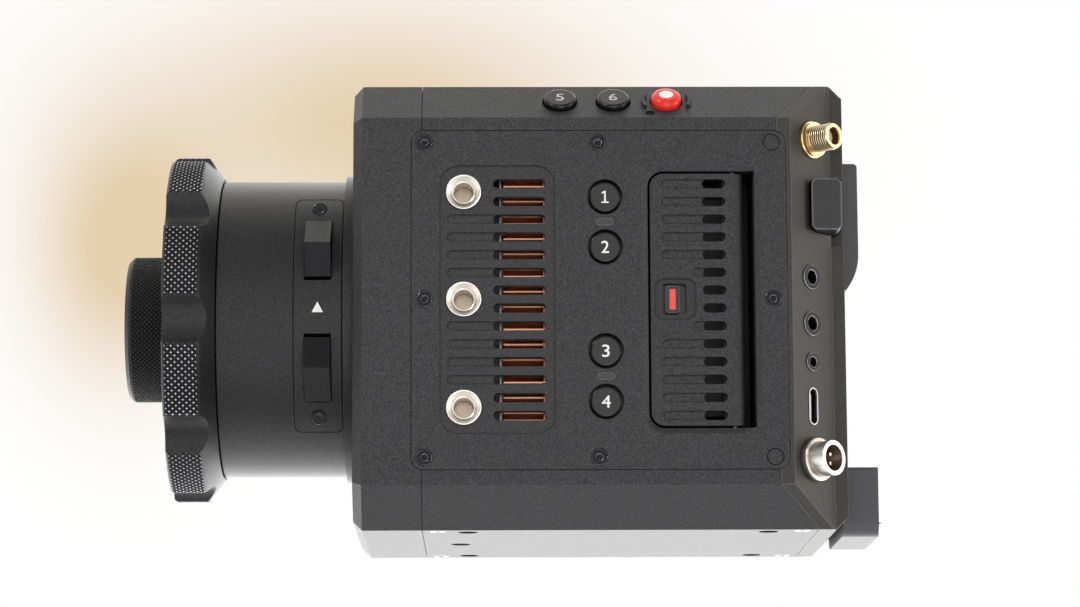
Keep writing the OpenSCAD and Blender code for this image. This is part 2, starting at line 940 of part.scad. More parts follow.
// Side cover: vent with its slots and reliefs, button holes, and the bevelled door opening
module side_cover() {
    color(black_metal) {
        difference() {
            in_left(0, cover_t) cover_outline(0);
            translate([0, -over, 0]) in_left(0, vent_sink + over)
                at_side(vent_start + vent_l / 2, 0) rounded(vent_l, vent_h, vent_r);
            slot_row(slot_start, slot_start + slot_l, cover_t + over);
            for (i = [relief_first : relief_last]) {
                relief(relief_start, slot_start + slot_h, i, vent_sink + relief_sink);
                relief(relief_start, slot_start + slot_h, slot_rows - 1 - i, vent_sink + relief_sink);
            }
            for (i = [-1 : 1])
                in_left(-over, cover_t + 2 * over) at_side(insert_x, i * insert_pitch)
                    circle(d = insert_d + 2 * slide_gap);
            for (s = [-1, 1]) {
                for (z = [button_inner_z, button_outer_z])
                    in_left(-over, cover_t + 2 * over) at_side(button_x, s * z) circle(d = button_hole_d);
                in_left(-over, window_mark_t + over + slide_gap) at_side(button_x, s * window_mark_z)
                    stadium(window_mark_l + 2 * slide_gap, window_mark_h + 2 * slide_gap);
            }
            door_opening();
            left_screw_places() {
                translate([0, 0, -screw_head_t]) cylinder(h = screw_head_t + over, d = screw_seat_d);
                translate([0, 0, -cover_t - over])
                    cylinder(h = cover_t + 2 * over, d = screw_shank_d + 2 * slide_gap);
            }
            plug_places() translate([0, 0, -plug_t]) cylinder(h = plug_t + over, d = screw_seat_d);
            hinge_line(hinge_pin_d + 2 * slide_gap, door_h + 2 * hinge_boss_h + 2 * over);
        }
        hinge_bosses();
        for (z = [-1, 0, 1])
            in_left(cover_t, board_depth - cover_t) at_side(button_x, z * (button_board_h / 2 - post_d / 2))
                circle(d = post_d);
    }
}

module door_opening() {
    mid = door_start + door_l / 2;
    door_hole();
    hull() {
        in_left(door_sink, slide_gap) at_side(mid, 0)
            rounded(door_l, door_h, door_r, $fn = 32);
        in_left(-slide_gap, slide_gap) at_side(mid, 0)
            rounded(door_l + 2 * door_rim, door_h + 2 * door_rim, door_r + door_rim, $fn = 32);
    }
}

module door_hole() {
    mid = door_start + door_l / 2;
    in_left(-over, cover_t + 2 * over) {
        at_side(mid, 0) rounded(door_l, door_h, door_r);
        at_side(door_start + door_l - door_r, 0) square([2 * door_r, door_h], center = true);
    }
}

module hinge_bosses() {
    for (s = [-1, 1])
        difference() {
            in_left(cover_t, hinge_boss_t)
                at_side(hinge_x, s * (door_h / 2 + hinge_boss_h / 2))
                    square([hinge_boss_w, hinge_boss_h], center = true);
            hinge_line(hinge_pin_d + 2 * slide_gap, door_h + 2 * hinge_boss_h + 2 * over);
        }
}

module hinge_line(d, l) {
    translate([from_front(hinge_x), left_y + hinge_depth, side_h]) cylinder(h = l, d = d, center = true);
}

// Right cover: the plain plate on the far side
module right_cover() {
    color(black_metal) mirror([0, 1, 0]) difference() {
        in_left(0, cover_t) cover_outline(0);
        left_screw_places() {
            translate([0, 0, -screw_head_t]) cylinder(h = screw_head_t + over, d = screw_seat_d);
            translate([0, 0, -cover_t - over])
                cylinder(h = cover_t + 2 * over, d = screw_shank_d + 2 * slide_gap);
        }
        plug_places() {
            translate([0, 0, -screw_head_t]) cylinder(h = screw_head_t + over, d = screw_seat_d);
            translate([0, 0, -cover_t - over])
                cylinder(h = cover_t + 2 * over, d = screw_shank_d + 2 * slide_gap);
        }
    }
}

module cover_screw() {
    translate([0, 0, -screw_head_t])
        hex_screw(screw_head_d, screw_head_t, screw_shank_d, screw_l - screw_head_t);
}

module side_cover_screws() {
    color(black_metal) left_screw_places() cover_screw();
}

module right_cover_screws() {
    color(black_metal) mirror([0, 1, 0]) {
        left_screw_places() cover_screw();
        plug_places() cover_screw();
    }
}

module cover_plugs() {
    color(black_metal) plug_places() translate([0, 0, -plug_t]) cylinder(h = plug_t, d = screw_head_d);
}

module base_screws() {
    color(black_metal) seam_screw_places() translate([0, 0, -seam_screw_t])
        hex_screw(seam_screw_d, seam_screw_t, screw_shank_d, seam_screw_l);
}

// Threaded inserts: a bright dished mouth, a blind quarter-inch bore and a flange behind the cover
module threaded_inserts() {
    color(nickel) for (i = [-1 : 1])
        translate([from_front(insert_x), left_y, side_h + i * insert_pitch]) rotate([90, 0, 0])
            difference() {
                union() {
                    translate([0, 0, -cover_t]) cylinder(h = cover_t, d = insert_d);
                    translate([0, 0, -cover_t - insert_flange_t])
                        cylinder(h = insert_flange_t, d = insert_flange_d);
                    translate([0, 0, -insert_bore_t - insert_floor_t])
                        cylinder(h = insert_bore_t + insert_floor_t - cover_t, d = insert_barrel_d);
                }
                translate([0, 0, -insert_bore_t]) cylinder(h = insert_bore_t + over, d = thread_d);
                translate([0, 0, -insert_cone_t])
                    cylinder(h = insert_cone_t, d1 = insert_throat_d, d2 = insert_mouth_d);
            }
}

// Heat sink: a stack of thin copper fins behind the slots, on a base against the chassis
module copper_heat_sink() {
    base_depth = chassis_depth - sink_base_t;
    color(copper) {
        in_left(base_depth, sink_base_t)
            at_side(spreader_x + spreader_t + (fin_x + fin_l - spreader_x - spreader_t) / 2, 0)
                square([fin_x + fin_l - spreader_x - spreader_t, fins * fin_pitch], center = true);
        for (i = [0 : fins - 1])
            in_left(fin_depth, base_depth - fin_depth)
                at_side(fin_x + fin_l / 2, fin_shift + (i - (fins - 1) / 2) * fin_pitch)
                    square([fin_l, fin_t], center = true);
        in_left(fin_depth, base_depth - fin_depth) at_side(fin_x + fin_l - fin_end_t / 2, 0)
            square([fin_end_t, fins * fin_pitch], center = true);
    }
}

module heat_spreader() {
    color(steel) in_left(fin_depth, chassis_depth - fin_depth)
        at_side(spreader_x + spreader_t / 2, 0) square([spreader_t, fins * fin_pitch], center = true);
}

module at_fan() {
    translate([from_front(fan_x), left_y + fan_depth + fan_w / 2, side_h]) rotate([0, 90, 0]) children();
}

module fan_frame() {
    color(dark_plastic) at_fan() {
        difference() {
            linear_extrude(fan_l) rounded(fan_w, fan_w, fan_corner_r);
            translate([0, 0, -over]) cylinder(h = fan_l + 2 * over, d = fan_bore_d);
        }
        difference() {
            union() {
                cylinder(h = fan_stay_t, d = fan_web_d);
                for (a = [0 : 90 : 270])
                    rotate([0, 0, a]) translate([0, -fan_stay_w / 2, 0])
                        cube([fan_bore_d / 2 + slide_gap, fan_stay_w, fan_stay_t]);
            }
            translate([0, 0, -over]) cylinder(h = fan_stay_t + 2 * over, d = fan_shaft_d + 2 * slide_gap);
        }
    }
}

module fan_rotor() {
    lift = fan_stay_t + run_gap;
    color(dark_plastic) at_fan() {
        cylinder(h = lift + fan_hub_l / 2, d = fan_shaft_d);
        translate([0, 0, lift]) cylinder(h = fan_hub_l, d = fan_hub_d);
        for (i = [0 : fan_blades - 1])
            intersection() {
                rotate([0, 0, i * 360 / fan_blades]) translate([0, 0, lift + fan_hub_l / 2])
                    rotate([fan_blade_turn, 0, 0])
                        translate([0, -fan_blade_t / 2, -fan_blade_l / 2])
                            cube([fan_bore_d / 2, fan_blade_t, fan_blade_l]);
                translate([0, 0, lift]) cylinder(h = fan_hub_l, d = fan_bore_d - 2 * fan_tip_gap);
            }
    }
}

// Chassis plate: an upright plate between the air side and the boards
module chassis_plate() {
    color(steel) {
        difference() {
            in_left(chassis_depth, chassis_t) translate([from_front(chassis_x1), wall])
                square([chassis_x2 - chassis_x1, body_h - 2 * wall]);
            in_left(chassis_depth - over, chassis_t + 2 * over) at_side(fan_x + fan_l / 2, 0)
                square([fan_l + 2 * slide_gap, fan_w + 2 * slide_gap], center = true);
        }
        for (x = [main_board_x1 + post_d, main_board_x2 - post_d], z = [-1, 1])
            in_left(chassis_depth + chassis_t, main_board_stand)
                at_side(x, z * (main_board_h / 2 - post_d)) circle(d = post_d);
    }
}

module main_board() {
    depth = chassis_depth + chassis_t + main_board_stand;
    color(board_green) {
        difference() {
            in_left(depth, board_t) at_side((main_board_x1 + main_board_x2) / 2, 0)
                square([main_board_x2 - main_board_x1, main_board_h], center = true);
            in_left(depth - over, board_t + 2 * over) at_side(fan_x + fan_l / 2, 0)
                square([fan_l + 2 * run_gap, fan_w + 2 * run_gap], center = true);
        }
        in_left(depth + board_t, chip_t) at_side(main_board_x2 - chip_w, 0) square(chip_w, center = true);
        for (z = [-1, 1])
            in_left(depth + board_t, chip_t) at_side(main_board_x2 - chip_w, z * (chip_w / 2 + memory_w))
                square(memory_w, center = true);
    }
}

module power_board() {
    color(board_green) translate([from_front(power_board_x), power_board_y - power_board_w / 2,
            (body_h - power_board_h) / 2])
        cube([power_board_t, power_board_w, power_board_h]);
}

module button_board() {
    color(board_green) {
        in_left(board_depth, board_t) at_side(button_x, 0)
            square([button_board_w, button_board_h], center = true);
        for (s = [-1, 1], z = [button_inner_z, button_outer_z])
            in_left(board_depth - switch_t, switch_t) at_side(button_x, s * z)
                square(switch_w, center = true);
    }
}

module io_board() {
    color(board_green) on_port_panel(0, 0) translate([io_board_s1, io_board_z1 - side_h, -io_depth - board_t])
        cube([io_board_s2 - io_board_s1, io_board_z2 - io_board_z1, board_t]);
}

// Media bay: the open box behind the door, with the recording module on its floor
module media_bay() {
    mid = (bay_x1 + bay_x2) / 2;
    color(dark_plastic) difference() {
        in_left(bay_depth, chassis_depth - bay_depth) at_side(mid, 0)
            square([bay_x2 - bay_x1, bay_h], center = true);
        in_left(bay_depth - over, chassis_depth - bay_depth - bay_wall + over) at_side(mid, 0)
            square([bay_x2 - bay_x1 - 2 * bay_wall, bay_h - 2 * bay_wall], center = true);
    }
}

module media_module() {
    color(black_metal) in_left(chassis_depth - bay_wall - module_t, module_t)
        at_side((bay_x1 + bay_x2) / 2, 0) rounded(module_w, module_h, module_r);
}

// Media door: a slotted plate whose hinge edge rolls round the pin
module media_door() {
    leaf_l = hinge_x - door_start - door_gap;
    leaf_h = door_h - 2 * door_gap;
    color(black_metal) difference() {
        union() {
            in_left(door_sink, door_t) {
                at_side(door_start + door_gap + leaf_l / 2, 0) rounded(leaf_l, leaf_h, door_r - door_gap);
                at_side(hinge_x - door_r, 0) square([2 * door_r, leaf_h], center = true);
            }
            hinge_line(2 * roll_r, leaf_h);
        }
        hinge_line(hinge_pin_d + 2 * slide_gap, door_h);
        slot_row(door_slot_start, door_slot_start + door_slot_l, door_sink + door_t + over);
        for (i = [0 : door_short_row - 1]) {
            relief(door_relief_start, door_slot_start + slot_h, i, door_sink + relief_sink);
            relief(door_relief_start, door_slot_start + slot_h, slot_rows - 1 - i, door_sink + relief_sink);
        }
        for (i = [door_short_row, slot_rows - 1 - door_short_row])
            relief(door_short_start, door_slot_start + slot_h, i, door_sink + relief_sink);
        translate([0, -over, 0]) in_left(0, door_sink + latch_pocket_sink + over)
            at_side(latch_x, 0) rounded(latch_pocket_w, latch_pocket_w, latch_pocket_r);
        in_left(0, hinge_depth) at_side(latch_slot_x, 0) rounded(latch_slot_w, latch_slot_h, latch_slot_r);
    }
}

module door_hinge_pin() {
    color(steel) hinge_line(hinge_pin_d, door_h + 2 * hinge_boss_h - 2 * slide_gap);
}

// Door latch: a knob in the door's pocket on a plate that slides behind the door
module door_latch() {
    back = cover_t + latch_gap;
    color(dark_plastic) {
        in_left(door_sink + knob_sink, back - door_sink - knob_sink)
            at_side(knob_x, 0) rounded(knob_w, knob_h, knob_r);
        in_left(back, latch_plate_t) at_side(latch_tip_x + latch_plate_w / 2, 0)
            rounded(latch_plate_w, latch_plate_h, knob_r);
    }
}

// A side button: a low round cap with a flange behind the cover
module side_button(z) {
    color(dark_plastic)
        translate([from_front(button_x), left_y + button_sink, side_h + z]) rotate([90, 0, 0]) {
        translate([0, 0, -button_cap_t]) round_edge_cap(button_d, button_cap_t, button_edge);
        translate([0, 0, -cover_t - run_gap - button_flange_t + button_sink])
            cylinder(h = button_flange_t, d = button_flange_d);
    }
}

module bevel_button_hole(cap_d) {
    translate([0, 0, -wall - over]) cylinder(h = wall + 2 * over, d = cap_d + 2 * run_gap);
}

module bevel_button(d, cap_d, proud, edge) {
    on_top_bevel(d) {
        translate([0, 0, -wall - run_gap]) round_edge_cap(cap_d, wall + run_gap + proud, edge);
        translate([0, 0, -wall - run_gap - button_flange_t])
            cylinder(h = button_flange_t, d = cap_d + 2 * button_flange_t);
    }
}

module indicator_windows() {
    color(dark_plastic) for (s = [-1, 1])
        in_left(0, window_mark_t) at_side(button_x, s * window_mark_z) stadium(window_mark_l, window_mark_h);
}

module mount_ring() {
    color(black_metal) difference() {
        disc_x(front_x - mount_ring_l, mount_ring_l, mount_ring_d);
        disc_x(front_x - mount_ring_l - over, mount_ring_l + 2 * over, throat_d);
    }
}

// Adapter barrel: the tube between the body and the lens, slotted for the filter tray
module adapter_barrel() {
    root_x = front_x - mount_ring_l;
    shoulder_x = ring_rear_x + run_gap;
    color(black_metal) difference() {
        turned_x() {
            polygon([[throat_d / 2, seat_x + seat_t], [neck_d / 2, seat_x + seat_t], [neck_d / 2, shoulder_x],
                [barrel_d / 2, shoulder_x], [barrel_d / 2, root_x], [throat_d / 2, root_x]]);
        }
        tray_frame_box(slide_gap * 2, tray_frame_end + run_gap);
        intersection() {
            tray_plate_ring(tray_plate_gap, over);
            tray_plate_prism(tray_plate_gap);
        }
    }
}

function tray_x() = from_front(-tray_start - tray_w / 2);
function tray_mid_h() = axis_h - tray_drop;
function tray_inner() = barrel_d / 2 - tray_plate_t;

module tray_plate_ring(grow, rise) {
    turned_x() translate([tray_inner() - grow, tray_x() - tray_w / 2 - grow])
        square([tray_plate_t + grow + rise, tray_w + 2 * grow]);
}

module tray_plate_prism(grow) {
    rotate([90, 0, 0]) linear_extrude(barrel_d)
        translate([tray_x(), tray_mid_h()])
            rounded(tray_w + 2 * grow, tray_h + 2 * grow, tray_plate_r + grow);
}

module tray_frame_box(grow, end) {
    translate([tray_x() - tray_frame_t / 2 - grow, -barrel_d, axis_h - tray_frame_h / 2 - grow])
        cube([tray_frame_t + 2 * grow, barrel_d + end, tray_frame_h + 2 * grow]);
}

// Filter tray: the curved end plate, the frame round the glass and pockets for the pinch tabs
module filter_tray() {
    color(black_metal) difference() {
        union() {
            intersection() {
                tray_plate_ring(0, 0);
                tray_plate_prism(0);
            }
            intersection() {
                tray_frame_box(0, tray_frame_end);
                disc_x(tray_x() - tray_frame_t, 2 * tray_frame_t, 2 * tray_inner() + slide_gap);
            }
        }
        disc_x(tray_x() - tray_frame_t, 2 * tray_frame_t, filter_d - 2 * tray_ledge);
        disc_x(tray_x() - filter_t / 2, tray_frame_t, filter_d + 2 * slide_gap);
        for (s = [-1, 1]) {
            tab_pocket(s);
            translate([tray_x(), tray_screw_shank_l + slide_gap - screw_flat(),
                    tray_mid_h() + s * tray_screw_z])
                rotate([90, 0, 0])
                cylinder(h = barrel_d, d = tray_screw_shank_d + 2 * slide_gap);
            translate([tray_x(), -screw_flat(), tray_mid_h() + s * tray_screw_z]) rotate([90, 0, 0])
                cylinder(h = barrel_d, d = tray_screw_d + 4 * slide_gap);
        }
    }
}

function screw_flat() = sqrt(pow(barrel_d / 2, 2) - pow(tray_screw_z, 2)) - tray_screw_seat;

module tab_pocket(s) {
    inner = tab_z1 - tab_travel - tab_gap;
    outer = tab_z2 + tab_gap;
    translate([tray_x() - tab_w / 2 - tab_gap, -barrel_d, tray_mid_h() + (s > 0 ? inner : -outer)])
        cube([tab_w + 2 * tab_gap, barrel_d - tab_root_y + run_gap, outer - inner]);
}

module filter_glass() {
    color(glass_tint) disc_x(tray_x() - filter_t / 2, filter_t, filter_d);
}

module pinch_tab() {
    translate([tray_x() - tab_w / 2, 0, tray_mid_h()]) rotate([90, 0, 90]) linear_extrude(tab_w)
        polygon([[-tab_root_y, tab_z1], [-tab_low_y, tab_z1], [-tab_ridge_y, tab_ridge_z],
            [-tab_high_y, tab_z2], [-tab_root_y, tab_z2]]);
}

module tray_tab_upper() {
    color(dark_plastic) pinch_tab();
}

module tray_tab_lower() {
    color(dark_plastic) translate([0, 0, 2 * tray_mid_h()]) mirror([0, 0, 1]) pinch_tab();
}

module tray_screws() {
    color(black_metal) for (s = [-1, 1])
        translate([tray_x(), -screw_flat(), tray_mid_h() + s * tray_screw_z]) rotate([90, 0, 0])
            hex_screw(tray_screw_d, tray_screw_t, tray_screw_shank_d, tray_screw_shank_l);
}

// Lens seat: the hard ring that sets the flange distance, with its locating pin
module lens_seat() {
    color(steel) {
        difference() {
            disc_x(seat_x, seat_t, neck_d);
            disc_x(seat_x - over, seat_t + 2 * over, throat_d);
        }
        translate([seat_x - seat_pin_l, 0, axis_h]) rotate([seat_pin_angle, 0, 0])
            translate([0, seat_pin_r, 0]) rotate([0, 90, 0])
                cylinder(h = seat_pin_l + seat_t / 2, d = seat_pin_d);
    }
}

// Locking ring: lobed grip, rear cone and a front lip with gaps for the lens's lugs
module locking_ring() {
    r = ring_d / 2;
    cutter = r - scallop_depth + scallop_r;
    color(black_metal) difference() {
        turned_x() polygon([[neck_d / 2 + run_gap, ring_rear_x], [ring_rear_d / 2, ring_rear_x],
            [r - ring_heel, ring_rear_x - ring_cone_l], [r, ring_rear_x - ring_cone_l - ring_heel],
            [r, ring_front_x + ring_chamfer], [r - ring_chamfer, ring_front_x],
            [ring_lip_d / 2, ring_front_x], [ring_lip_d / 2, ring_front_x + ring_lip_t],
            [neck_d / 2 + run_gap, ring_front_x + ring_lip_t]]);
        for (i = [0 : ring_lobes - 1])
            translate([ring_front_x - over, 0, axis_h]) rotate([scallop_phase + i * 360 / ring_lobes, 0, 0])
                translate([0, -cutter, 0]) rotate([0, 90, 0]) cylinder(h = ring_l + 2 * over, r = scallop_r);
        lugs(ring_front_x - over, ring_lip_t + 2 * over, lug_d, lug_angle);
    }
}

module lugs(x, l, d, angle) {
    for (i = [0 : lug_count - 1])
        translate([0, 0, axis_h]) rotate([i * 360 / lug_count, 0, 0])
            translate([x, 0, 0]) rotate([90, 0, 90]) linear_extrude(l) intersection() {
                circle(d = d);
                sector(d, angle);
            }
}

// Body cap: a bayonet disc with a skirt in the throat and a knob to turn it by
module body_cap() {
    disc_x1 = ring_front_x + cap_disc_front;
    knob_front_x = ring_front_x - cap_knob_l;
    back_x = seat_x - cap_seat_gap;
    color(dark_plastic) {
        difference() {
            union() {
                turned_x() polygon([[0, disc_x1], [cap_disc_d / 2, disc_x1], [cap_disc_d / 2, back_x],
                    [throat_d / 2 - run_gap, back_x], [throat_d / 2 - run_gap, seat_x + cap_skirt_l],
                    [throat_d / 2 - run_gap - cap_skirt_wall, seat_x + cap_skirt_l],
                    [throat_d / 2 - run_gap - cap_skirt_wall, back_x], [0, back_x]]);
                lugs(back_x - cap_lug_t, cap_lug_t, lug_d - 2 * cap_lug_gap, lug_angle - lug_gap_angle);
                turned_x() polygon([[0, knob_front_x], [cap_knob_d / 2 - cap_edge, knob_front_x],
                    [cap_knob_d / 2, knob_front_x + cap_edge], [cap_knob_d / 2, disc_x1 + slide_gap],
                    [0, disc_x1 + slide_gap]]);
            }
            disc_x(knob_front_x - over, cap_dish_t + over, cap_dish_d);
        }
    }
}

// Sensor stack behind the front wall
module sensor_carrier() {
    color(black_metal) difference() {
        along_x(from_front(front_wall), carrier_t) translate([0, axis_h])
            rounded(carrier_w, carrier_h, carrier_r);
        along_x(from_front(front_wall) - over, carrier_t + 2 * over) translate([0, axis_h])
            square([sensor_hole_w, sensor_hole_h], center = true);
    }
}

module sensor_window() {
    color(glass_tint) along_x(from_front(front_wall), sensor_glass_t) translate([0, axis_h])
        square([sensor_hole_w - 2 * sensor_gap, sensor_hole_h - 2 * sensor_gap], center = true);
}

module image_sensor() {
    color(dark_plastic) along_x(from_front(sensor_depth), front_wall + carrier_t - sensor_depth)
        translate([0, axis_h]) square([sensor_w, sensor_h], center = true);
}

module sensor_board() {
    color(board_green) along_x(from_front(front_wall + carrier_t), sensor_board_t)
        translate([0, axis_h]) square([sensor_board_w, sensor_board_h], center = true);
}

// Battery receiver: a block with a wedge pocket, open at the top, that a battery slides down into
module battery_receiver() {
    nose_r = (pow(receiver_nose_h, 2) + pow(receiver_nose_t, 2)) / (2 * receiver_nose_t);
    color(black_metal) difference() {
        translate([rear_x, receiver_w / 2, receiver_z]) rotate([90, 0, 0]) linear_extrude(receiver_w)
            intersection() {
                square([receiver_t, receiver_h]);
                union() {
                    translate([receiver_t - nose_r, receiver_nose_h]) circle(nose_r);
                    translate([0, receiver_nose_h])
                        square([receiver_t, receiver_h - receiver_nose_h - receiver_edge]);
                    translate([0, receiver_nose_h])
                        square([receiver_t - receiver_edge, receiver_h - receiver_nose_h]);
                    translate([receiver_t - receiver_edge, receiver_h - receiver_edge]) circle(receiver_edge);
                }
            }
        wedge(receiver_t - wedge_depth, wedge_depth - wedge_lip_t, wedge_lip);
        wedge(receiver_t - wedge_depth, wedge_depth + over, 0);
        pawl_hole();
    }
}

module pawl_hole() {
    along_x(rear_x - rear_wall - over, rear_wall + receiver_t + 2 * over)
        translate([0, receiver_z + pawl_z + pawl_h / 2])
            square([pawl_w + 2 * run_gap, pawl_h + 2 * run_gap], center = true);
}

module wedge(x, l, grow) {
    top = receiver_z + receiver_h;
    along_x(rear_x + x, l)
        polygon([[-wedge_low_w / 2 - grow, top - wedge_h], [wedge_low_w / 2 + grow, top - wedge_h],
            [wedge_top_w / 2 + grow, top + over], [-wedge_top_w / 2 - grow, top + over]]);
}

module battery_latch() {
    color(steel) translate([rear_x, pawl_w / 2, receiver_z + pawl_z]) rotate([90, 0, 0])
        linear_extrude(pawl_w)
            polygon([[-pawl_in, 0], [pawl_out, 0], [pawl_out, pawl_nose], [pawl_ramp, pawl_h],
                [-pawl_in, pawl_h]]);
}

module battery_release_button() {
    color(dark_plastic) in_left(release_depth, release_l)
        at_side(release_x + release_w / 2, release_z + release_h / 2)
            rounded(release_w, release_h, release_r);
}

// Contact block at the foot of the rear wall, with slots for the battery's contacts
module contact_block() {
    color(dark_plastic) difference() {
        along_x(rear_x, contact_t) {
            translate([-receiver_w / 2, contact_round])
                square([receiver_w, contact_h - contact_round - contact_edge]);
            translate([-receiver_w / 2 + contact_round, 0])
                square([receiver_w - 2 * contact_round, contact_h - contact_edge]);
            translate([-receiver_w / 2 + contact_edge, contact_round])
                square([receiver_w - 2 * contact_edge, contact_h - contact_round]);
            for (s = [-1, 1]) {
                translate([s * (receiver_w / 2 - contact_round), contact_round]) circle(contact_round);
                translate([s * (receiver_w / 2 - contact_edge), contact_h - contact_edge])
                    circle(contact_edge);
            }
        }
        contact_places() translate([rear_x + contact_t - contact_slot_t, -contact_slot_w / 2, contact_z])
            cube([contact_slot_t + over, contact_slot_w, contact_slot_h]);
    }
}

module contact_places() {
    for (i = [0 : contact_slots - 1])
        translate([0, (i - (contact_slots - 1) / 2) * contact_pitch, 0]) children();
}

module contact_pins() {
    color(gold) {
        contact_places() translate([rear_x + contact_t - contact_slot_t, -blade_w / 2,
                contact_z + (contact_slot_h - blade_h) / 2])
            cube([contact_slot_t - over, blade_w, blade_h]);
        for (s = [-1, 1])
            translate([rear_x + contact_t, s * (receiver_w / 2 - contact_round), foot_pin_z])
                rotate([0, 90, 0]) cylinder(h = foot_pin_l, d = foot_pin_d);
    }
}

// Antenna connector: washer, thin round nut and threaded barrel, gilt
module antenna_connector() {
    color(gold) on_port_panel(antenna_z, antenna_shift) difference() {
        union() {
            cylinder(h = antenna_washer_t, d = antenna_washer_d);
            translate([0, 0, antenna_washer_t]) cylinder(h = antenna_nut_t, d = antenna_nut_d);
            translate([0, 0, -port_wall]) cylinder(h = port_wall + antenna_l, d = antenna_d);
            translate([0, 0, -port_wall - antenna_inside_l])
                cylinder(h = antenna_inside_l, d = antenna_inside_d);
        }
        translate([0, 0, antenna_l - antenna_bore_t]) cylinder(h = antenna_bore_t + over, d = antenna_bore_d);
    }
}

module antenna_insulator() {
    color("white") on_port_panel(antenna_z, antenna_shift) translate([0, 0, antenna_l - antenna_bore_t])
        difference() {
            cylinder(h = antenna_core_t, d = antenna_bore_d - 2 * slide_gap);
            translate([0, 0, antenna_core_t / 2]) cylinder(h = antenna_core_t, d = antenna_pin_d);
        }
}

// A round jack: a ring flush in the panel, a blind bore and a body behind
module round_jack(z, ring_d, hole_d, body_d) {
    on_port_panel(z, port_shift) difference() {
        union() {
            translate([0, 0, -port_wall]) cylinder(h = port_wall + jack_proud, d = ring_d);
            translate([0, 0, -jack_l]) cylinder(h = jack_l - port_wall, d = body_d);
        }
        translate([0, 0, -jack_l + jack_floor]) cylinder(h = jack_l + over, d = hole_d);
    }
}

module mic_jack() {
    color(steel) round_jack(mic_z, jack_ring_d, jack_hole_d, jack_body_d);
}

module headphone_jack() {
    color(steel) round_jack(headphone_z, jack_ring_d, jack_hole_d, jack_body_d);
}

module remote_jack() {
    color(steel) round_jack(remote_z, remote_ring_d, remote_hole_d, remote_body_d);
}

// USB socket: a bright shell with its tongue
module usb_port() {
    color(steel) on_port_panel(usb_z, port_shift) {
        difference() {
            translate([0, 0, -jack_l]) linear_extrude(jack_l + usb_proud) rotate(90) stadium(usb_h, usb_w);
            translate([0, 0, -jack_l + usb_floor]) linear_extrude(jack_l + over) rotate(90)
                stadium(usb_h - 2 * usb_wall, usb_w - 2 * usb_wall);
        }
        translate([-usb_tongue_w / 2, -usb_tongue_h / 2, -jack_l + usb_floor])
            cube([usb_tongue_w, usb_tongue_h, jack_l - usb_floor - usb_tongue_sink]);
    }
}

// Power connector: a round satin shell with a flange, and its pins in a dark insert
module power_connector() {
    color(nickel) on_port_panel(power_z, power_shift) difference() {
        union() {
            round_edge_cap(power_flange_d, power_flange_t, power_flange_edge);
            cylinder(h = power_l, d = power_neck_d);
            translate([0, 0, -power_inside_l]) cylinder(h = power_inside_l, d = power_inside_d);
        }
        translate([0, 0, power_l - power_bore_t]) cylinder(h = power_bore_t + over, d = power_bore_d);
    }
}

module connector_pins() {
    color(gold) on_port_panel(power_z, power_shift) for (i = [0 : power_pins - 1])
        rotate([0, 0, power_pin_angle + i * 360 / power_pins])
            translate([power_pin_r, 0, power_l - power_bore_t]) cylinder(h = power_pin_l, d = power_pin_d);
}

front_frame();
main_housing();
base_housing();
rear_cover();
side_cover();
right_cover();
side_cover_screws();
right_cover_screws();
cover_plugs();
base_screws();
threaded_inserts();
copper_heat_sink();
heat_spreader();
fan_frame();
fan_rotor();
chassis_plate();
main_board();
power_board();
button_board();
io_board();
media_bay();
media_module();
media_door();
door_hinge_pin();
door_latch();
side_button(button_outer_z);  // button_1
side_button(button_inner_z);  // button_2
side_button(-button_inner_z);  // button_3
side_button(-button_outer_z);  // button_4
color(dark_plastic) bevel_button(top_button_x, top_button_d, top_button_proud, top_button_edge);  // button_5
color(dark_plastic)  // button_6
        bevel_button(top_button_x + top_button_pitch, top_button_d, top_button_proud, top_button_edge);
color(record_red) bevel_button(top_button_x + 2 * top_button_pitch, record_d, record_proud, record_edge);  // record_button
indicator_windows();
mount_ring();
adapter_barrel();
lens_seat();
locking_ring();
body_cap();
filter_tray();
filter_glass();
tray_tab_upper();
tray_tab_lower();
tray_screws();
sensor_carrier();
sensor_window();
image_sensor();
sensor_board();
battery_receiver();
battery_latch();
battery_release_button();
contact_block();
contact_pins();
antenna_connector();
antenna_insulator();
mic_jack();
headphone_jack();
remote_jack();
usb_port();
power_connector();
connector_pins();
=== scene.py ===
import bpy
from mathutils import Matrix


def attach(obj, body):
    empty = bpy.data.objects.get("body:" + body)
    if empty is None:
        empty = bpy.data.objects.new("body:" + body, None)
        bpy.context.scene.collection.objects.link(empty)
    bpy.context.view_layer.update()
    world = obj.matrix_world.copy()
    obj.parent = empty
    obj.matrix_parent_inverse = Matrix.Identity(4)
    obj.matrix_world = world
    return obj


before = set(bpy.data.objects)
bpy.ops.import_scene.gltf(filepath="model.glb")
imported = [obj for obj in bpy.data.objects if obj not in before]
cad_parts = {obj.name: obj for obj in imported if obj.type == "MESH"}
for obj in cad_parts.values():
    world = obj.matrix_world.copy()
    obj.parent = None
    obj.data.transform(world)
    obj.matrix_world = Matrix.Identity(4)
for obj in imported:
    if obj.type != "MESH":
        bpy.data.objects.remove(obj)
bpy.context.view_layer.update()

import math

import bpy
from mathutils import Matrix, Vector

# The view: the photographer's camera, a long lens a little below the lens axis,
# looking straight at the operator's side. Its place comes from a pinhole model fitted
# to the screws, slots and base holes, with the body's depth held at 92 mm.
MM = 0.001
camera_place = Vector((-27.57, -936.71, -92.84)) * MM
camera_right = Vector((0.99990538, -0.01310389, -0.00418614))
camera_up = Vector((0.00197052, -0.16473057, 0.98633663))
camera_back = camera_right.cross(camera_up)

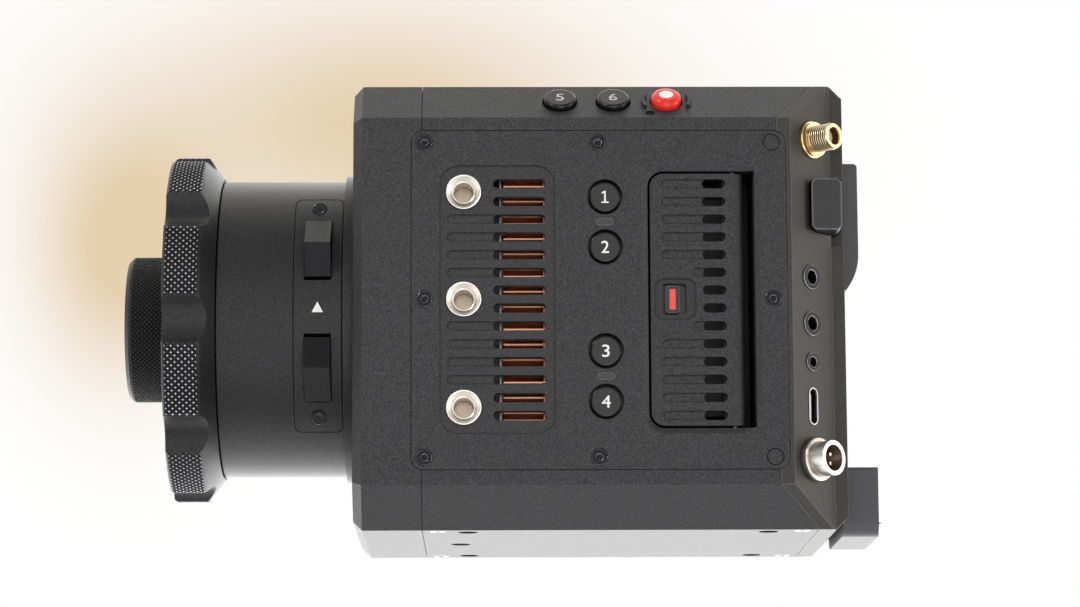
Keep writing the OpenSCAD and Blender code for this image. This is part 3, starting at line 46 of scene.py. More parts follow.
camera_data = bpy.data.cameras.new("camera")
camera_data.lens = 120.23
camera_data.sensor_width = 36
camera_data.clip_start = 0.01
camera = bpy.data.objects.new("camera", camera_data)
bpy.context.collection.objects.link(camera)
turn = Matrix((camera_right, camera_up, camera_back)).transposed().to_4x4()
camera.matrix_world = Matrix.Translation(camera_place) @ turn
scene = bpy.context.scene
scene.camera = camera
scene.view_settings.view_transform = "Standard"


# Floor, surroundings and light: a pale paper floor just under the base, seen only from
# above, and white surroundings that are brightest behind the camera body, as a white
# table is. Two soft patches of warm shade lie on it, and five soft panels give the light.
def add(tree, kind, links=None, **settings):
    node = tree.nodes.new(kind)
    for key, value in settings.items():
        if key.startswith("in_"):
            name = key[3:]
            socket = node.inputs[int(name)] if name.isdigit() else node.inputs[name.replace("_", " ")]
            socket.default_value = value
        else:
            setattr(node, key, value)
    for name, source in (links or {}).items():
        tree.links.new(node.inputs[name], source)
    return node


def linear(code, alpha=1.0):
    values = [int(code[i:i + 2], 16) / 255 for i in (1, 3, 5)]
    return [v / 12.92 if v <= 0.04045 else ((v + 0.055) / 1.055) ** 2.4 for v in values] + [alpha]


def new_material(name):
    material = bpy.data.materials.new(name)
    material.use_nodes = True
    material.node_tree.nodes.clear()
    return material, material.node_tree


def piece_from(name, vertices, faces, material, smooth=False):
    mesh = bpy.data.meshes.new(name)
    mesh.from_pydata([tuple(v) for v in vertices], [], faces)
    mesh.materials.append(material)
    mesh.update()
    if smooth:
        mesh.shade_smooth()
    piece = bpy.data.objects.new(name, mesh)
    bpy.context.collection.objects.link(piece)
    return piece


paper, tree = new_material("pale paper")
board = add(tree, "ShaderNodeBsdfPrincipled", in_Base_Color=linear("#e9e6e1"), in_Roughness=0.9)
clear = add(tree, "ShaderNodeBsdfTransparent")
facing = add(tree, "ShaderNodeNewGeometry")
one_sided = add(tree, "ShaderNodeMixShader", {0: facing.outputs["Backfacing"],
                                              1: board.outputs[0], 2: clear.outputs[0]})
add(tree, "ShaderNodeOutputMaterial", {"Surface": one_sided.outputs[0]})
floor_half, floor_drop = 4.0, 0.6 * MM
floor_corners = [(x * floor_half, y * floor_half, -floor_drop)
                 for x, y in ((-1, -1), (1, -1), (1, 1), (-1, 1))]
floor = piece_from("floor", floor_corners, [(0, 1, 2, 3)], paper)
for ray in ("glossy", "diffuse", "transmission", "shadow"):
    setattr(floor, "visible_" + ray, False)

world = bpy.data.worlds.new("surroundings")
scene.world = world
world.use_nodes = True
tree = world.node_tree
tree.nodes.clear()
direction = add(tree, "ShaderNodeTexCoord").outputs["Generated"]
axes = add(tree, "ShaderNodeSeparateXYZ", {0: direction})


def ramp_over(axis, stops):
    level = add(tree, "ShaderNodeMapRange", {"Value": axes.outputs[axis]}, in_From_Min=-1.0, in_From_Max=1.0)
    sky = add(tree, "ShaderNodeValToRGB", {0: level.outputs[0]})
    for place, (red, green, blue) in stops[1:-1]:
        sky.color_ramp.elements.new((place + 1) / 2).color = (red, green, blue, 1)
    for element, (place, (red, green, blue)) in ((sky.color_ramp.elements[0], stops[0]),
                                                 (sky.color_ramp.elements[-1], stops[-1])):
        element.color = (red, green, blue, 1)
    return sky.outputs[0]


def soft_patch(centre, reach):
    offset = add(tree, "ShaderNodeVectorMath", {0: direction}, operation="SUBTRACT")
    offset.inputs[1].default_value = centre
    spread = add(tree, "ShaderNodeVectorMath", {0: offset.outputs[0]}, operation="DIVIDE")
    spread.inputs[1].default_value = reach
    square = add(tree, "ShaderNodeVectorMath", {0: spread.outputs[0], 1: spread.outputs[0]},
                 operation="DOT_PRODUCT")
    down = add(tree, "ShaderNodeMath", {0: square.outputs["Value"]}, operation="MULTIPLY")
    down.inputs[1].default_value = -1.0
    return add(tree, "ShaderNodeMath", {0: down.outputs[0]}, operation="EXPONENT").outputs[0]


behind = ramp_over("Y", ((-1.0, (0.06, 0.06, 0.062)), (-0.3, (0.1, 0.1, 0.1)), (0.0, (0.26, 0.26, 0.255)),
                         (0.3, (0.37, 0.37, 0.36)), (1.0, (0.44, 0.44, 0.44))))
below = ramp_over("Z", ((-1.0, (0.5, 0.5, 0.51)), (-0.3, (1.0, 1.0, 1.0)), (-0.05, (1.0, 1.0, 1.0)),
                        (0.15, (0.3, 0.297, 0.293)), (1.0, (0.5, 0.49, 0.48))))
sky = add(tree, "ShaderNodeMix", data_type="RGBA", blend_type="MULTIPLY")
sky.inputs[0].default_value = 1.0
tree.links.new(sky.inputs["A"], behind)
tree.links.new(sky.inputs["B"], below)
shade = add(tree, "ShaderNodeMath", {0: soft_patch((-0.03, 0.97, 0.2134), (0.0705, 0.6, 0.0366)),
                                     1: soft_patch((-0.1012, 0.97, 0.1763), (0.0258, 0.6, 0.0357))},
            operation="ADD")
shown = add(tree, "ShaderNodeMix", {0: shade.outputs[0]}, data_type="RGBA")
shown.inputs["A"].default_value = (1.0, 1.0, 1.0, 1)
shown.inputs["B"].default_value = (0.79, 0.632, 0.436, 1)
lit = add(tree, "ShaderNodeBackground", {"Color": sky.outputs["Result"]}, in_Strength=9.0)
seen = add(tree, "ShaderNodeBackground", {"Color": shown.outputs["Result"]}, in_Strength=1.0)
path = add(tree, "ShaderNodeLightPath")
both = add(tree, "ShaderNodeMixShader", {0: path.outputs["Is Camera Ray"], 1: lit.outputs[0],
                                         2: seen.outputs[0]})
add(tree, "ShaderNodeOutputWorld", {"Surface": both.outputs[0]})

for name, place, size, power, colour in (
        ("front panel", (0.05, -1.3, 0.2), 1.0, 4.6, (1.0, 0.995, 0.99)),
        ("low panel", (0.15, -1.0, -0.65), 0.7, 3.2, (0.96, 0.98, 1.0)),
        ("key panel", (-0.8, -0.8, 0.9), 0.32, 6.0, (1.0, 0.98, 0.95)),
        ("side panel", (1.1, -0.35, 0.1), 0.7, 4.4, (1.0, 0.96, 0.9)),
        ("back panel", (0.3, 1.2, 0.9), 1.0, 5.0, (1.0, 1.0, 1.0))):
    light_data = bpy.data.lights.new(name, "AREA")
    light_data.size = size
    light_data.energy = power
    light_data.color = colour
    light = bpy.data.objects.new(name, light_data)
    light.location = place
    light.rotation_euler = (Vector((0, 0, 0.06)) - Vector(place)).to_track_quat("-Z", "Y").to_euler()
    bpy.context.collection.objects.link(light)


# Body shell: aluminium milled from block, bead-blasted and anodised black. The blasting
# leaves a fine grain that breaks every highlight up, and the mill's edges are broken by
# a hair. Every finish here is one surface: a colour, a grain in its skin and rounded edges
# that catch light; some finishes also get a painted highlight along their edges and painted
# shade in their hollows.
FRONT_X = -62.25 * MM
LEFT_Y = -46 * MM
AXIS_Z = 56.7 * MM
SIDE_Z = 57.1 * MM
BODY_TOP = 113.8 * MM
EDGE_BEVEL = 10.3 * MM


def surface(name, colour, roughness, metallic=0.0, grain=0.0, grain_mm=0.3, edge_mm=0.0, mottle=0.0,
            specular=0.5, painted_edge_highlight=0.0, painted_shade_mm=0.0, painted_shade_colour="#050505"):
    material, tree = new_material(name)
    place = add(tree, "ShaderNodeTexCoord").outputs["Object"]
    principled = add(tree, "ShaderNodeBsdfPrincipled", in_Base_Color=linear(colour), in_Roughness=roughness,
                     in_Metallic=metallic)
    principled.inputs["Specular IOR Level"].default_value = specular
    speckle = add(tree, "ShaderNodeTexNoise", {"Vector": place}, in_Scale=1 / (grain_mm * MM), in_Detail=2.0,
                  in_Roughness=0.7)
    rounded = add(tree, "ShaderNodeBevel", samples=4, in_Radius=edge_mm * MM) if edge_mm else None
    painted = None

    def over(factor, second):
        step = add(tree, "ShaderNodeMix", {0: factor}, data_type="RGBA")
        step.inputs["A"].default_value = linear(colour)
        step.inputs["B"].default_value = linear(second)
        if painted:
            tree.links.new(step.inputs["A"], painted)
        return step.outputs["Result"]

    if mottle:
        spread = add(tree, "ShaderNodeMapRange", {"Value": speckle.outputs["Fac"]}, in_From_Min=0.35,
                     in_From_Max=0.65, in_To_Min=1 - mottle, in_To_Max=1 + mottle)
        tint = add(tree, "ShaderNodeMix", data_type="RGBA", blend_type="MULTIPLY")
        tint.inputs[0].default_value = 1.0
        tint.inputs["A"].default_value = linear(colour)
        tree.links.new(tint.inputs["B"], spread.outputs[0])
        painted = tint.outputs["Result"]
        sparkle = add(tree, "ShaderNodeMapRange", {"Value": speckle.outputs["Fac"]}, in_From_Min=0.35,
                      in_From_Max=0.65, in_To_Min=specular * (1 - mottle), in_To_Max=specular * (1 + mottle))
        tree.links.new(principled.inputs["Specular IOR Level"], sparkle.outputs[0])
    # Painted highlight: where the rounded edge turns away from the face, the colour is mixed toward light
    # grey.
    if painted_edge_highlight:
        true_face = add(tree, "ShaderNodeNewGeometry").outputs["True Normal"]
        turned = add(tree, "ShaderNodeVectorMath", {0: rounded.outputs[0], 1: true_face},
                     operation="DOT_PRODUCT")
        edge = add(tree, "ShaderNodeMapRange", {"Value": turned.outputs["Value"]}, in_From_Min=0.998,
                   in_From_Max=0.92, in_To_Min=0.0, in_To_Max=painted_edge_highlight)
        painted = over(edge.outputs[0], "#b4b4b6")
    # Painted shade: where ambient occlusion finds a hollow, the colour is mixed toward the shade colour.
    if painted_shade_mm:
        openness = add(tree, "ShaderNodeAmbientOcclusion", samples=6, in_Distance=painted_shade_mm * MM)
        depth = add(tree, "ShaderNodeMapRange", {"Value": openness.outputs["AO"]}, in_From_Min=0.3,
                    in_From_Max=0.95, in_To_Min=1.0, in_To_Max=0.0)
        painted = over(depth.outputs[0], painted_shade_colour)
    if painted:
        tree.links.new(principled.inputs["Base Color"], painted)
    if grain:
        relief = add(tree, "ShaderNodeBump", {"Height": speckle.outputs["Fac"]}, in_Strength=grain,
                     in_Distance=grain_mm * MM)
        if rounded:
            tree.links.new(relief.inputs["Normal"], rounded.outputs[0])
        tree.links.new(principled.inputs["Normal"], relief.outputs[0])
    elif rounded:
        tree.links.new(principled.inputs["Normal"], rounded.outputs[0])
    add(tree, "ShaderNodeOutputMaterial", {"Surface": principled.outputs[0]})
    return material


def finish(material, *names):
    for name in names:
        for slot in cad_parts[name].material_slots:
            slot.material = material


# Painted shade darkens the hollows of the shell.
blasted_black = surface("bead-blasted black anodised aluminium", "#303032", 0.46, metallic=0.35, grain=0.45,
                        grain_mm=0.3, edge_mm=0.2, mottle=0.45, specular=0.55, painted_shade_mm=0.8)
finish(blasted_black, "front_frame", "main_housing", "base_housing", "side_cover", "right_cover",
       "cover_plugs")

# Rear cover: the same blasted aluminium from another batch, its black a shade warmer,
# screwed to the housing along a seam that runs beside the slanted port panel.
# A painted highlight lightens its edges, and painted shade darkens its hollows.
blasted_warm = surface("warm black anodised aluminium", "#353430", 0.46, metallic=0.35, grain=0.35,
                       grain_mm=0.28, edge_mm=0.3, mottle=0.3, specular=0.5, painted_shade_mm=0.9, painted_edge_highlight=0.25)
finish(blasted_warm, "rear_cover")

# Screws: small blackened steel cap screws with a hexagon socket, their heads flush in
# counterbored seats. The worn black oxide is glossier than the blasted face round it, and
# the rims of the heads carry a painted highlight.
black_oxide = surface("black oxide steel", "#1f1f21", 0.26, metallic=0.9, edge_mm=0.14, painted_edge_highlight=1.4)
finish(black_oxide, "side_cover_screws", "right_cover_screws", "base_screws", "tray_screws")

# Threaded inserts: nickel-plated steel bushes with a turned, dished mouth, pressed in
# from behind the cover. The plate is a little rough, and is painted darker down the bore as shade.
nickel_plate = surface("turned nickel plate", "#e9e3da", 0.26, metallic=1.0, edge_mm=0.3, painted_shade_mm=4.5,
                       painted_shade_colour="#8f7f6f")
finish(nickel_plate, "threaded_inserts")

# Heat sink: bare copper fins skived from one block behind the vent, with the edge of a
# steel spreader plate in front of them. Bare copper is bright and strongly coloured.
# Painted shade: the copper turns dark red in the hollows between the fins.
bare_copper = surface("bare copper", "#ffba94", 0.34, metallic=0.6, grain=0.1, grain_mm=0.4, edge_mm=0.12,
                      painted_shade_mm=1.3, painted_shade_colour="#8f3016")
finish(bare_copper, "copper_heat_sink")
plain_steel = surface("plain steel", "#8d8d90", 0.4, metallic=1.0)
finish(plain_steel, "heat_spreader", "chassis_plate", "door_hinge_pin", "battery_latch", "lens_seat")

# Boards, fan and bay inside the body: glass-epoxy boards under green solder mask, and
# black moulded parts that only show through the slots and with the door open.
solder_mask = surface("green solder mask", "#12442a", 0.35)
finish(solder_mask, "main_board", "power_board", "button_board", "io_board", "sensor_board")
moulded_black = surface("moulded black plastic", "#141415", 0.55, grain=0.1, grain_mm=0.3)
finish(moulded_black, "fan_frame", "fan_rotor", "media_bay", "image_sensor")
moulded_grey = surface("charcoal moulded plastic", "#47474a", 0.5, grain=0.15, grain_mm=0.35, edge_mm=0.3)
finish(moulded_grey, "contact_block")

# Media door and module: the door is blasted like its cover, and the module is a plain
# anodised case that stands in the bay behind it.
# Painted shade darkens the hollows of the door.
blasted_door = surface("door bead-blasted aluminium", "#2f2f31", 0.46, metallic=0.35, grain=0.45,
                       grain_mm=0.3, edge_mm=0.2, mottle=0.45, specular=0.55, painted_shade_mm=0.8)
finish(blasted_door, "media_door")
anodised_case = surface("satin anodised case", "#28282a", 0.42, metallic=0.4, edge_mm=0.3)
finish(anodised_case, "media_module", "sensor_carrier")

# Door latch: a black sliding knob with a stripe of red enamel filled into its face, so
# that the hand finds it.
# A painted highlight lightens the knob's edges.
knob_black = surface("satin black acetal", "#1b1b1c", 0.38, edge_mm=0.35, painted_edge_highlight=0.25)
finish(knob_black, "door_latch")
red_enamel = surface("red enamel", "#e0483f", 0.4)
latch_face_y = LEFT_Y + 1.15 * MM
stripe_x, stripe_half_w, stripe_half_h, stripe_t = FRONT_X + 80.27 * MM, 0.75 * MM, 2.6 * MM, 0.03 * MM


def box_piece(name, low, high, material):
    corners = [(x, y, z) for x in (low[0], high[0]) for y in (low[1], high[1]) for z in (low[2], high[2])]
    faces = [(0, 1, 3, 2), (4, 6, 7, 5), (0, 4, 5, 1), (2, 3, 7, 6), (0, 2, 6, 4), (1, 5, 7, 3)]
    return piece_from(name, corners, faces, material)


stripe = box_piece("latch_stripe",
                   (stripe_x - stripe_half_w, latch_face_y - stripe_t, SIDE_Z - stripe_half_h),
                   (stripe_x + stripe_half_w, latch_face_y + stripe_t, SIDE_Z + stripe_half_h), red_enamel)
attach(stripe, "latch")

# Side buttons: low round caps moulded in black plastic with a soft satin skin, each with
# its number printed in white. Two small windows for a lamp sit between the pairs.
satin_cap = surface("satin black button plastic", "#0f0f10", 0.25, grain=0.04, grain_mm=0.4, edge_mm=0.4,
                    specular=0.42)
finish(satin_cap, "button_1", "button_2", "button_3", "button_4", "button_5", "button_6")
# A painted highlight lightens the edges of the windows.
smoked_window = surface("smoked window plastic", "#262628", 0.22, edge_mm=0.25, painted_edge_highlight=0.6)
finish(smoked_window, "indicator_windows")
print_white = surface("white pad print", "#eceae6", 0.6)
print_grey = surface("grey pad print", "#b9b9bb", 0.6)
CAPITAL_SHARE = 0.7
NUMBER_H, PRINT_HALF_T = 3.1, 0.02 * MM


def number(name, text, height_mm, width_mm, matrix, material, body):
    curve = bpy.data.curves.new(name, "FONT")
    curve.body = text
    curve.size = height_mm * MM / CAPITAL_SHARE
    curve.offset = PRINT_HALF_T
    curve.extrude = PRINT_HALF_T
    lettering = bpy.data.objects.new(name + "_curve", curve)
    bpy.context.collection.objects.link(lettering)
    graph = bpy.context.evaluated_depsgraph_get()
    mesh = bpy.data.meshes.new_from_object(lettering.evaluated_get(graph), depsgraph=graph)
    bpy.data.objects.remove(lettering)
    low, high = [Vector([pick(v.co[axis] for v in mesh.vertices) for axis in range(3)])
                 for pick in (min, max)]
    middle, size = (low + high) / 2, high - low
    fit = Matrix.Diagonal((width_mm * MM / size.x, height_mm * MM / size.y, 1, 1))
    mesh.transform(matrix @ fit @ Matrix.Translation(-middle))
    mesh.materials.clear()
    mesh.materials.append(material)
    piece = bpy.data.objects.new(name, mesh)
    bpy.context.collection.objects.link(piece)
    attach(piece, body)
    return piece


def prism(name, outline, half_t, matrix, material):
    count = len(outline)
    corners = [Vector((x, y, z)) for z in (-half_t, half_t) for x, y in outline]
    faces = [tuple(range(count))[::-1], tuple(range(count, 2 * count))] + \
            [(i, (i + 1) % count, count + (i + 1) % count, count + i) for i in range(count)]
    return piece_from(name, [matrix @ corner for corner in corners], faces, material)


one_w, one_h = 1.85 * MM, NUMBER_H * MM
one_outline = [(x * one_w, y * one_h) for x, y in (
    (-0.45, -0.5), (0.5, -0.5), (0.5, -0.39), (0.13, -0.39), (0.13, 0.5), (-0.06, 0.5), (-0.42, 0.37),
    (-0.42, 0.25), (-0.09, 0.34), (-0.09, -0.39), (-0.45, -0.39))]
button_x = FRONT_X + 63.4 * MM
button_face_depth = 0.09 * MM
side_numbers = ((26.0, 1.9), (13.2, 1.95), (-13.2, 1.9), (-26.0, 2.25))
upright = Matrix.Rotation(math.radians(90), 4, "X")
for index, (z, width) in enumerate(side_numbers, start=1):
    place = Matrix.Translation((button_x, LEFT_Y + button_face_depth, SIDE_Z + z * MM)) @ upright
    if index > 1:
        number("number_%d" % index, str(index), NUMBER_H, width, place, print_white, "key_%d" % index)
    else:
        one = prism("number_1", one_outline, PRINT_HALF_T, place, print_white)
        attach(one, "key_1")

# Buttons on the top bevel: two numbered caps and the red record button, which stand
# higher and have fuller edges. The record button carries a white dot.
bevel_turn = Matrix.Rotation(math.radians(45), 4, "X")
bevel_y, bevel_z = LEFT_Y + EDGE_BEVEL / 2, BODY_TOP - EDGE_BEVEL / 2


def on_bevel(distance_mm, lift_mm):
    return Matrix.Translation((FRONT_X + distance_mm * MM, bevel_y, bevel_z)) @ bevel_turn @ \
        Matrix.Translation((0, 0, lift_mm * MM))


top_number_w, top_cap_lift = 2.1, 1.5
for index, distance in ((5, 52.3), (6, 65.8)):
    number("number_%d" % index, str(index), NUMBER_H, top_number_w, on_bevel(distance, top_cap_lift),
           print_grey, "key_%d" % index)
record_red = surface("semi-gloss red plastic", "#dd2a1f", 0.3, edge_mm=0.2)
finish(record_red, "record_button")
dot_sides, dot_r, dot_distance, dot_lift = 48, 1.75 * MM, 79.3, 2.3
dot_outline = [(dot_r * math.cos(2 * math.pi * i / dot_sides), dot_r * math.sin(2 * math.pi * i / dot_sides))
               for i in range(dot_sides)]
dot = prism("record_dot", dot_outline, PRINT_HALF_T, on_bevel(dot_distance, dot_lift), print_white)
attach(dot, "record")

# Lens barrel, mount ring and body cap: turned aluminium, anodised satin black, smoother
# than the blasted body, and a cap of moulded black plastic.
RING_GRIP_R, KNURL_HEIGHT = 44.95 * MM, 0.42 * MM
# Painted shade darkens the hollows of the barrel, rings and tray.
satin_black = surface("satin black anodised aluminium", "#262627", 0.42, metallic=0.45, grain=0.15,
                      grain_mm=0.35, edge_mm=0.25, mottle=0.3, painted_shade_mm=0.8)
finish(satin_black, "mount_ring", "adapter_barrel", "filter_tray", "locking_ring")

# Battery receiver: an anodised plate in a lighter grey than the black of the body.
receiver_black = surface("grey anodised aluminium", "#4a4a4c", 0.45, metallic=0.4, grain=0.06,
                         grain_mm=0.25, edge_mm=0.3)
finish(receiver_black, "battery_receiver")

# Knurled grip: the anodising is worn off the points, and the colour runs from black at
# the root to near white at the tip, partly that wear and partly a painted highlight on the
# tips and painted shade at the roots. The height over the grip's own radius tells the two apart.
knurl_black, tree = new_material("knurled black anodised aluminium")
axis_offset = add(tree, "ShaderNodeVectorMath", {0: add(tree, "ShaderNodeTexCoord").outputs["Object"]},
                  operation="SUBTRACT")
axis_offset.inputs[1].default_value = (0, 0, AXIS_Z)
across = add(tree, "ShaderNodeVectorMath", {0: axis_offset.outputs[0]}, operation="MULTIPLY")
across.inputs[1].default_value = (0, 1, 1)
reach = add(tree, "ShaderNodeVectorMath", {0: across.outputs[0]}, operation="LENGTH")
height = add(tree, "ShaderNodeMapRange", {"Value": reach.outputs["Value"]}, in_From_Min=RING_GRIP_R,
             in_From_Max=RING_GRIP_R + KNURL_HEIGHT)
crest_highlight_root_shade = add(tree, "ShaderNodeValToRGB", {0: height.outputs[0]})
crest_highlight_root_shade.color_ramp.elements[0].color = linear("#0b0b0c")
crest_highlight_root_shade.color_ramp.elements[1].color = linear("#f4f4f6")
for place, code in ((0.35, "#161618"), (0.62, "#59595d"), (0.8, "#c4c4c8")):
    crest_highlight_root_shade.color_ramp.elements.new(place).color = linear(code)
grip = add(tree, "ShaderNodeBsdfPrincipled", {"Base Color": crest_highlight_root_shade.outputs[0]}, in_Roughness=0.32,
           in_Metallic=0.8)
add(tree, "ShaderNodeOutputMaterial", {"Surface": grip.outputs[0]})
cap_black = surface("matt black cap plastic", "#0e0e0f", 0.5, grain=0.06, grain_mm=0.3, edge_mm=0.3)
finish(cap_black, "body_cap")


# Knurl on the lobes of the locking ring and round the knob of the cap: crossed cuts that
# leave rows of four-sided points, rolled or cut into the grip so that it holds in gloves.
def knurl_tree():
    tree = bpy.data.node_groups.new("knurled grip", "GeometryNodeTree")
    for name, kind in (("Radius", "Float"), ("Start", "Float"), ("Column Step", "Float"),
                       ("Row Step", "Float"), ("Height", "Float"), ("Columns", "Int"), ("Rows", "Int"),
                       ("Lobes", "Int"), ("First Angle", "Float"), ("Axis Height", "Float"),
                       ("Band Start", "Float"), ("Band End", "Float"), ("Material", "Material")):
        tree.interface.new_socket(name=name, in_out="INPUT", socket_type="NodeSocket" + kind)
    tree.interface.new_socket(name="Geometry", in_out="OUTPUT", socket_type="NodeSocketGeometry")
    given = add(tree, "NodeGroupInput")

    def sum_of(kind, first, second=None, value=None):
        step = add(tree, "ShaderNodeMath", operation=kind)
        tree.links.new(step.inputs[0], first)
        if second is not None:
            tree.links.new(step.inputs[1], second)
        elif value is not None:
            step.inputs[1].default_value = value
        return step.outputs[0]

    per_lobe = sum_of("MULTIPLY", given.outputs["Columns"], given.outputs["Rows"])
    count = sum_of("MULTIPLY", per_lobe, given.outputs["Lobes"])
    points = add(tree, "GeometryNodePoints", {"Count": count})
    index = add(tree, "GeometryNodeInputIndex").outputs[0]
    lobe = sum_of("FLOOR", sum_of("DIVIDE", index, per_lobe))
    within = sum_of("SUBTRACT", index, sum_of("MULTIPLY", lobe, per_lobe))
    row = sum_of("FLOOR", sum_of("DIVIDE", within, given.outputs["Columns"]))
    column = sum_of("SUBTRACT", within, sum_of("MULTIPLY", row, given.outputs["Columns"]))
    stagger = sum_of("MULTIPLY", sum_of("MODULO", row, value=2.0), value=0.5)
    along = sum_of("ADD", given.outputs["Start"],
                   sum_of("MULTIPLY", sum_of("ADD", sum_of("ADD", column, stagger), value=0.5),
                          given.outputs["Column Step"]))
    half_rows = sum_of("MULTIPLY", sum_of("SUBTRACT", given.outputs["Rows"], value=1.0), value=0.5)
    row_angle = sum_of("DIVIDE", given.outputs["Row Step"], given.outputs["Radius"])
    lobe_angle = sum_of("DIVIDE", sum_of("MULTIPLY", lobe, value=2 * math.pi), given.outputs["Lobes"])
    angle = sum_of("ADD", sum_of("ADD", given.outputs["First Angle"], lobe_angle),
                   sum_of("MULTIPLY", sum_of("SUBTRACT", row, half_rows), row_angle))
    side = sum_of("MULTIPLY", sum_of("MULTIPLY", sum_of("COSINE", angle), given.outputs["Radius"]),
                  value=-1.0)
    rise = sum_of("ADD", sum_of("MULTIPLY", sum_of("SINE", angle), given.outputs["Radius"]),
                  given.outputs["Axis Height"])
    spot = add(tree, "ShaderNodeCombineXYZ", {0: along, 1: side, 2: rise})
    placed = add(tree, "GeometryNodeSetPosition", {"Geometry": points.outputs[0],
                                                   "Position": spot.outputs[0]})
    quarter = sum_of("MULTIPLY", sum_of("SUBTRACT", angle, value=math.pi / 2), value=-1.0)
    tilt = add(tree, "ShaderNodeCombineXYZ", {0: quarter})
    point = add(tree, "GeometryNodeMeshCone", in_Vertices=4, in_Radius_Top=0.0, in_Radius_Bottom=1.0,
                in_Depth=1.0)
    size = add(tree, "ShaderNodeCombineXYZ", {
        0: sum_of("MULTIPLY", given.outputs["Column Step"], value=0.5), 1: given.outputs["Row Step"],
        2: given.outputs["Height"]})
    copies = add(tree, "GeometryNodeInstanceOnPoints", {
        "Points": placed.outputs[0], "Instance": point.outputs[0], "Rotation": tilt.outputs[0],
        "Scale": size.outputs[0]})
    real = add(tree, "GeometryNodeRealizeInstances", {0: copies.outputs[0]})
    spot = add(tree, "ShaderNodeSeparateXYZ", {0: add(tree, "GeometryNodeInputPosition").outputs[0]})
    kept = sum_of("MINIMUM", sum_of("MAXIMUM", spot.outputs["X"], given.outputs["Band Start"]),
                  given.outputs["Band End"])
    inside = add(tree, "ShaderNodeCombineXYZ", {0: kept, 1: spot.outputs["Y"], 2: spot.outputs["Z"]})
    trimmed = add(tree, "GeometryNodeSetPosition", {"Geometry": real.outputs[0],
                                                    "Position": inside.outputs[0]})
    dressed = add(tree, "GeometryNodeSetMaterial", {"Geometry": trimmed.outputs[0],
                                                    "Material": given.outputs["Material"]})
    add(tree, "NodeGroupOutput", {"Geometry": dressed.outputs[0]})
    return tree


def grown(name, tree, body, slot_name, **inputs):
    start = bpy.data.objects.new(name + "_start", bpy.data.meshes.new(name + "_start"))
    bpy.context.collection.objects.link(start)
    modifier = start.modifiers.new("grown", "NODES")
    modifier.node_group = tree
    sockets = {item.name: item.identifier for item in tree.interface.items_tree if item.in_out == "INPUT"}
    for key, value in inputs.items():
        modifier[sockets[key.replace("_", " ")]] = value
    graph = bpy.context.evaluated_depsgraph_get()
    mesh = bpy.data.meshes.new_from_object(start.evaluated_get(graph), depsgraph=graph)
    bpy.data.objects.remove(start)
    piece = bpy.data.objects.new(name, mesh)
    bpy.context.collection.objects.link(piece)
    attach(piece, body)
    return piece


knurl = knurl_tree()
grown("ring_knurl", knurl, "ring", "ring_black", Radius=RING_GRIP_R, Start=FRONT_X - 48.08 * MM,
      Column_Step=1.78 * MM, Row_Step=0.82 * MM, Height=KNURL_HEIGHT, Columns=5, Rows=23, Lobes=9,
      Band_Start=FRONT_X - 47.2 * MM, Band_End=FRONT_X - 38.95 * MM,
      First_Angle=math.radians(14.5), Axis_Height=AXIS_Z, Material=knurl_black)
knob_rows = 98
knob_r = 18.85 * MM
grown("cap_knurl", knurl, "cap", "black_plastic", Radius=knob_r, Start=FRONT_X - 58.6 * MM,
      Column_Step=1.2 * MM, Row_Step=math.pi * knob_r / knob_rows, Height=0.2 * MM, Columns=8,
      Rows=2 * knob_rows, Lobes=1, Band_Start=FRONT_X - 60 * MM, Band_End=FRONT_X - 48 * MM,
      First_Angle=0.0, Axis_Height=AXIS_Z, Material=cap_black)

# Filter tray: the curved end plate carries two moulded pinch tabs and a printed triangle
# that shows which way up the tray goes in. The glass is coated clear glass.
tab_black = surface("pinch tab plastic", "#1d1d1f", 0.36, grain=0.04, grain_mm=0.3, edge_mm=0.25,
                    specular=0.14)
finish(tab_black, "tray_tab_upper", "tray_tab_lower")
clear_glass, tree = new_material("coated clear glass")
glass = add(tree, "ShaderNodeBsdfPrincipled", in_Base_Color=linear("#f2f7f6"), in_Roughness=0.02,
            in_Transmission_Weight=1.0, in_IOR=1.5)
add(tree, "ShaderNodeOutputMaterial", {"Surface": glass.outputs[0]})
finish(clear_glass, "filter_glass", "sensor_window")
plate_y = -38.78 * MM
arrow_x, arrow_half_w, arrow_h, arrow_t = FRONT_X - 9.1 * MM, 1.42 * MM, 2.75 * MM, 0.04 * MM
arrow_z = AXIS_Z - 1.7 * MM
tip = [(arrow_x - arrow_half_w, arrow_z), (arrow_x + arrow_half_w, arrow_z), (arrow_x, arrow_z + arrow_h)]
arrow_corners = [(x, y, z) for y in (plate_y - arrow_t, plate_y + arrow_t) for x, z in tip]
arrow = piece_from("tray_arrow", arrow_corners,
                   [(0, 1, 2), (5, 4, 3), (0, 3, 4, 1), (1, 4, 5, 2), (2, 5, 3, 0)], print_white)
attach(arrow, "tray")

# Antenna connector: gold-plated brass with a threaded barrel. Sharp bright ridges stand
# on the plain barrel of the solid, as closed rings at the thread's pitch, and the barrel
# between them is painted dark brown as shade in the thread roots.
panel_x, panel_y = FRONT_X + 115.825 * MM, LEFT_Y + 5.475 * MM
panel_out = Vector((math.sqrt(0.5), -math.sqrt(0.5), 0))
antenna_height, antenna_shift = 41.7, 0.5
thread_start, thread_pitch, thread_turns = 2.0 * MM, 0.68 * MM, 8
thread_r, ridge_r, root_r, crest_r = 3.12 * MM, 0.28 * MM, 3.2 * MM, 3.36 * MM
gold_thread, tree = new_material("gold plate with painted shade at the thread roots")
out_from_panel = add(tree, "ShaderNodeVectorMath", {0: add(tree, "ShaderNodeTexCoord").outputs["Object"]},
                     operation="DOT_PRODUCT")
out_from_panel.inputs[1].default_value = panel_out
thread_base = panel_out.dot(Vector((panel_x, panel_y, 0)))
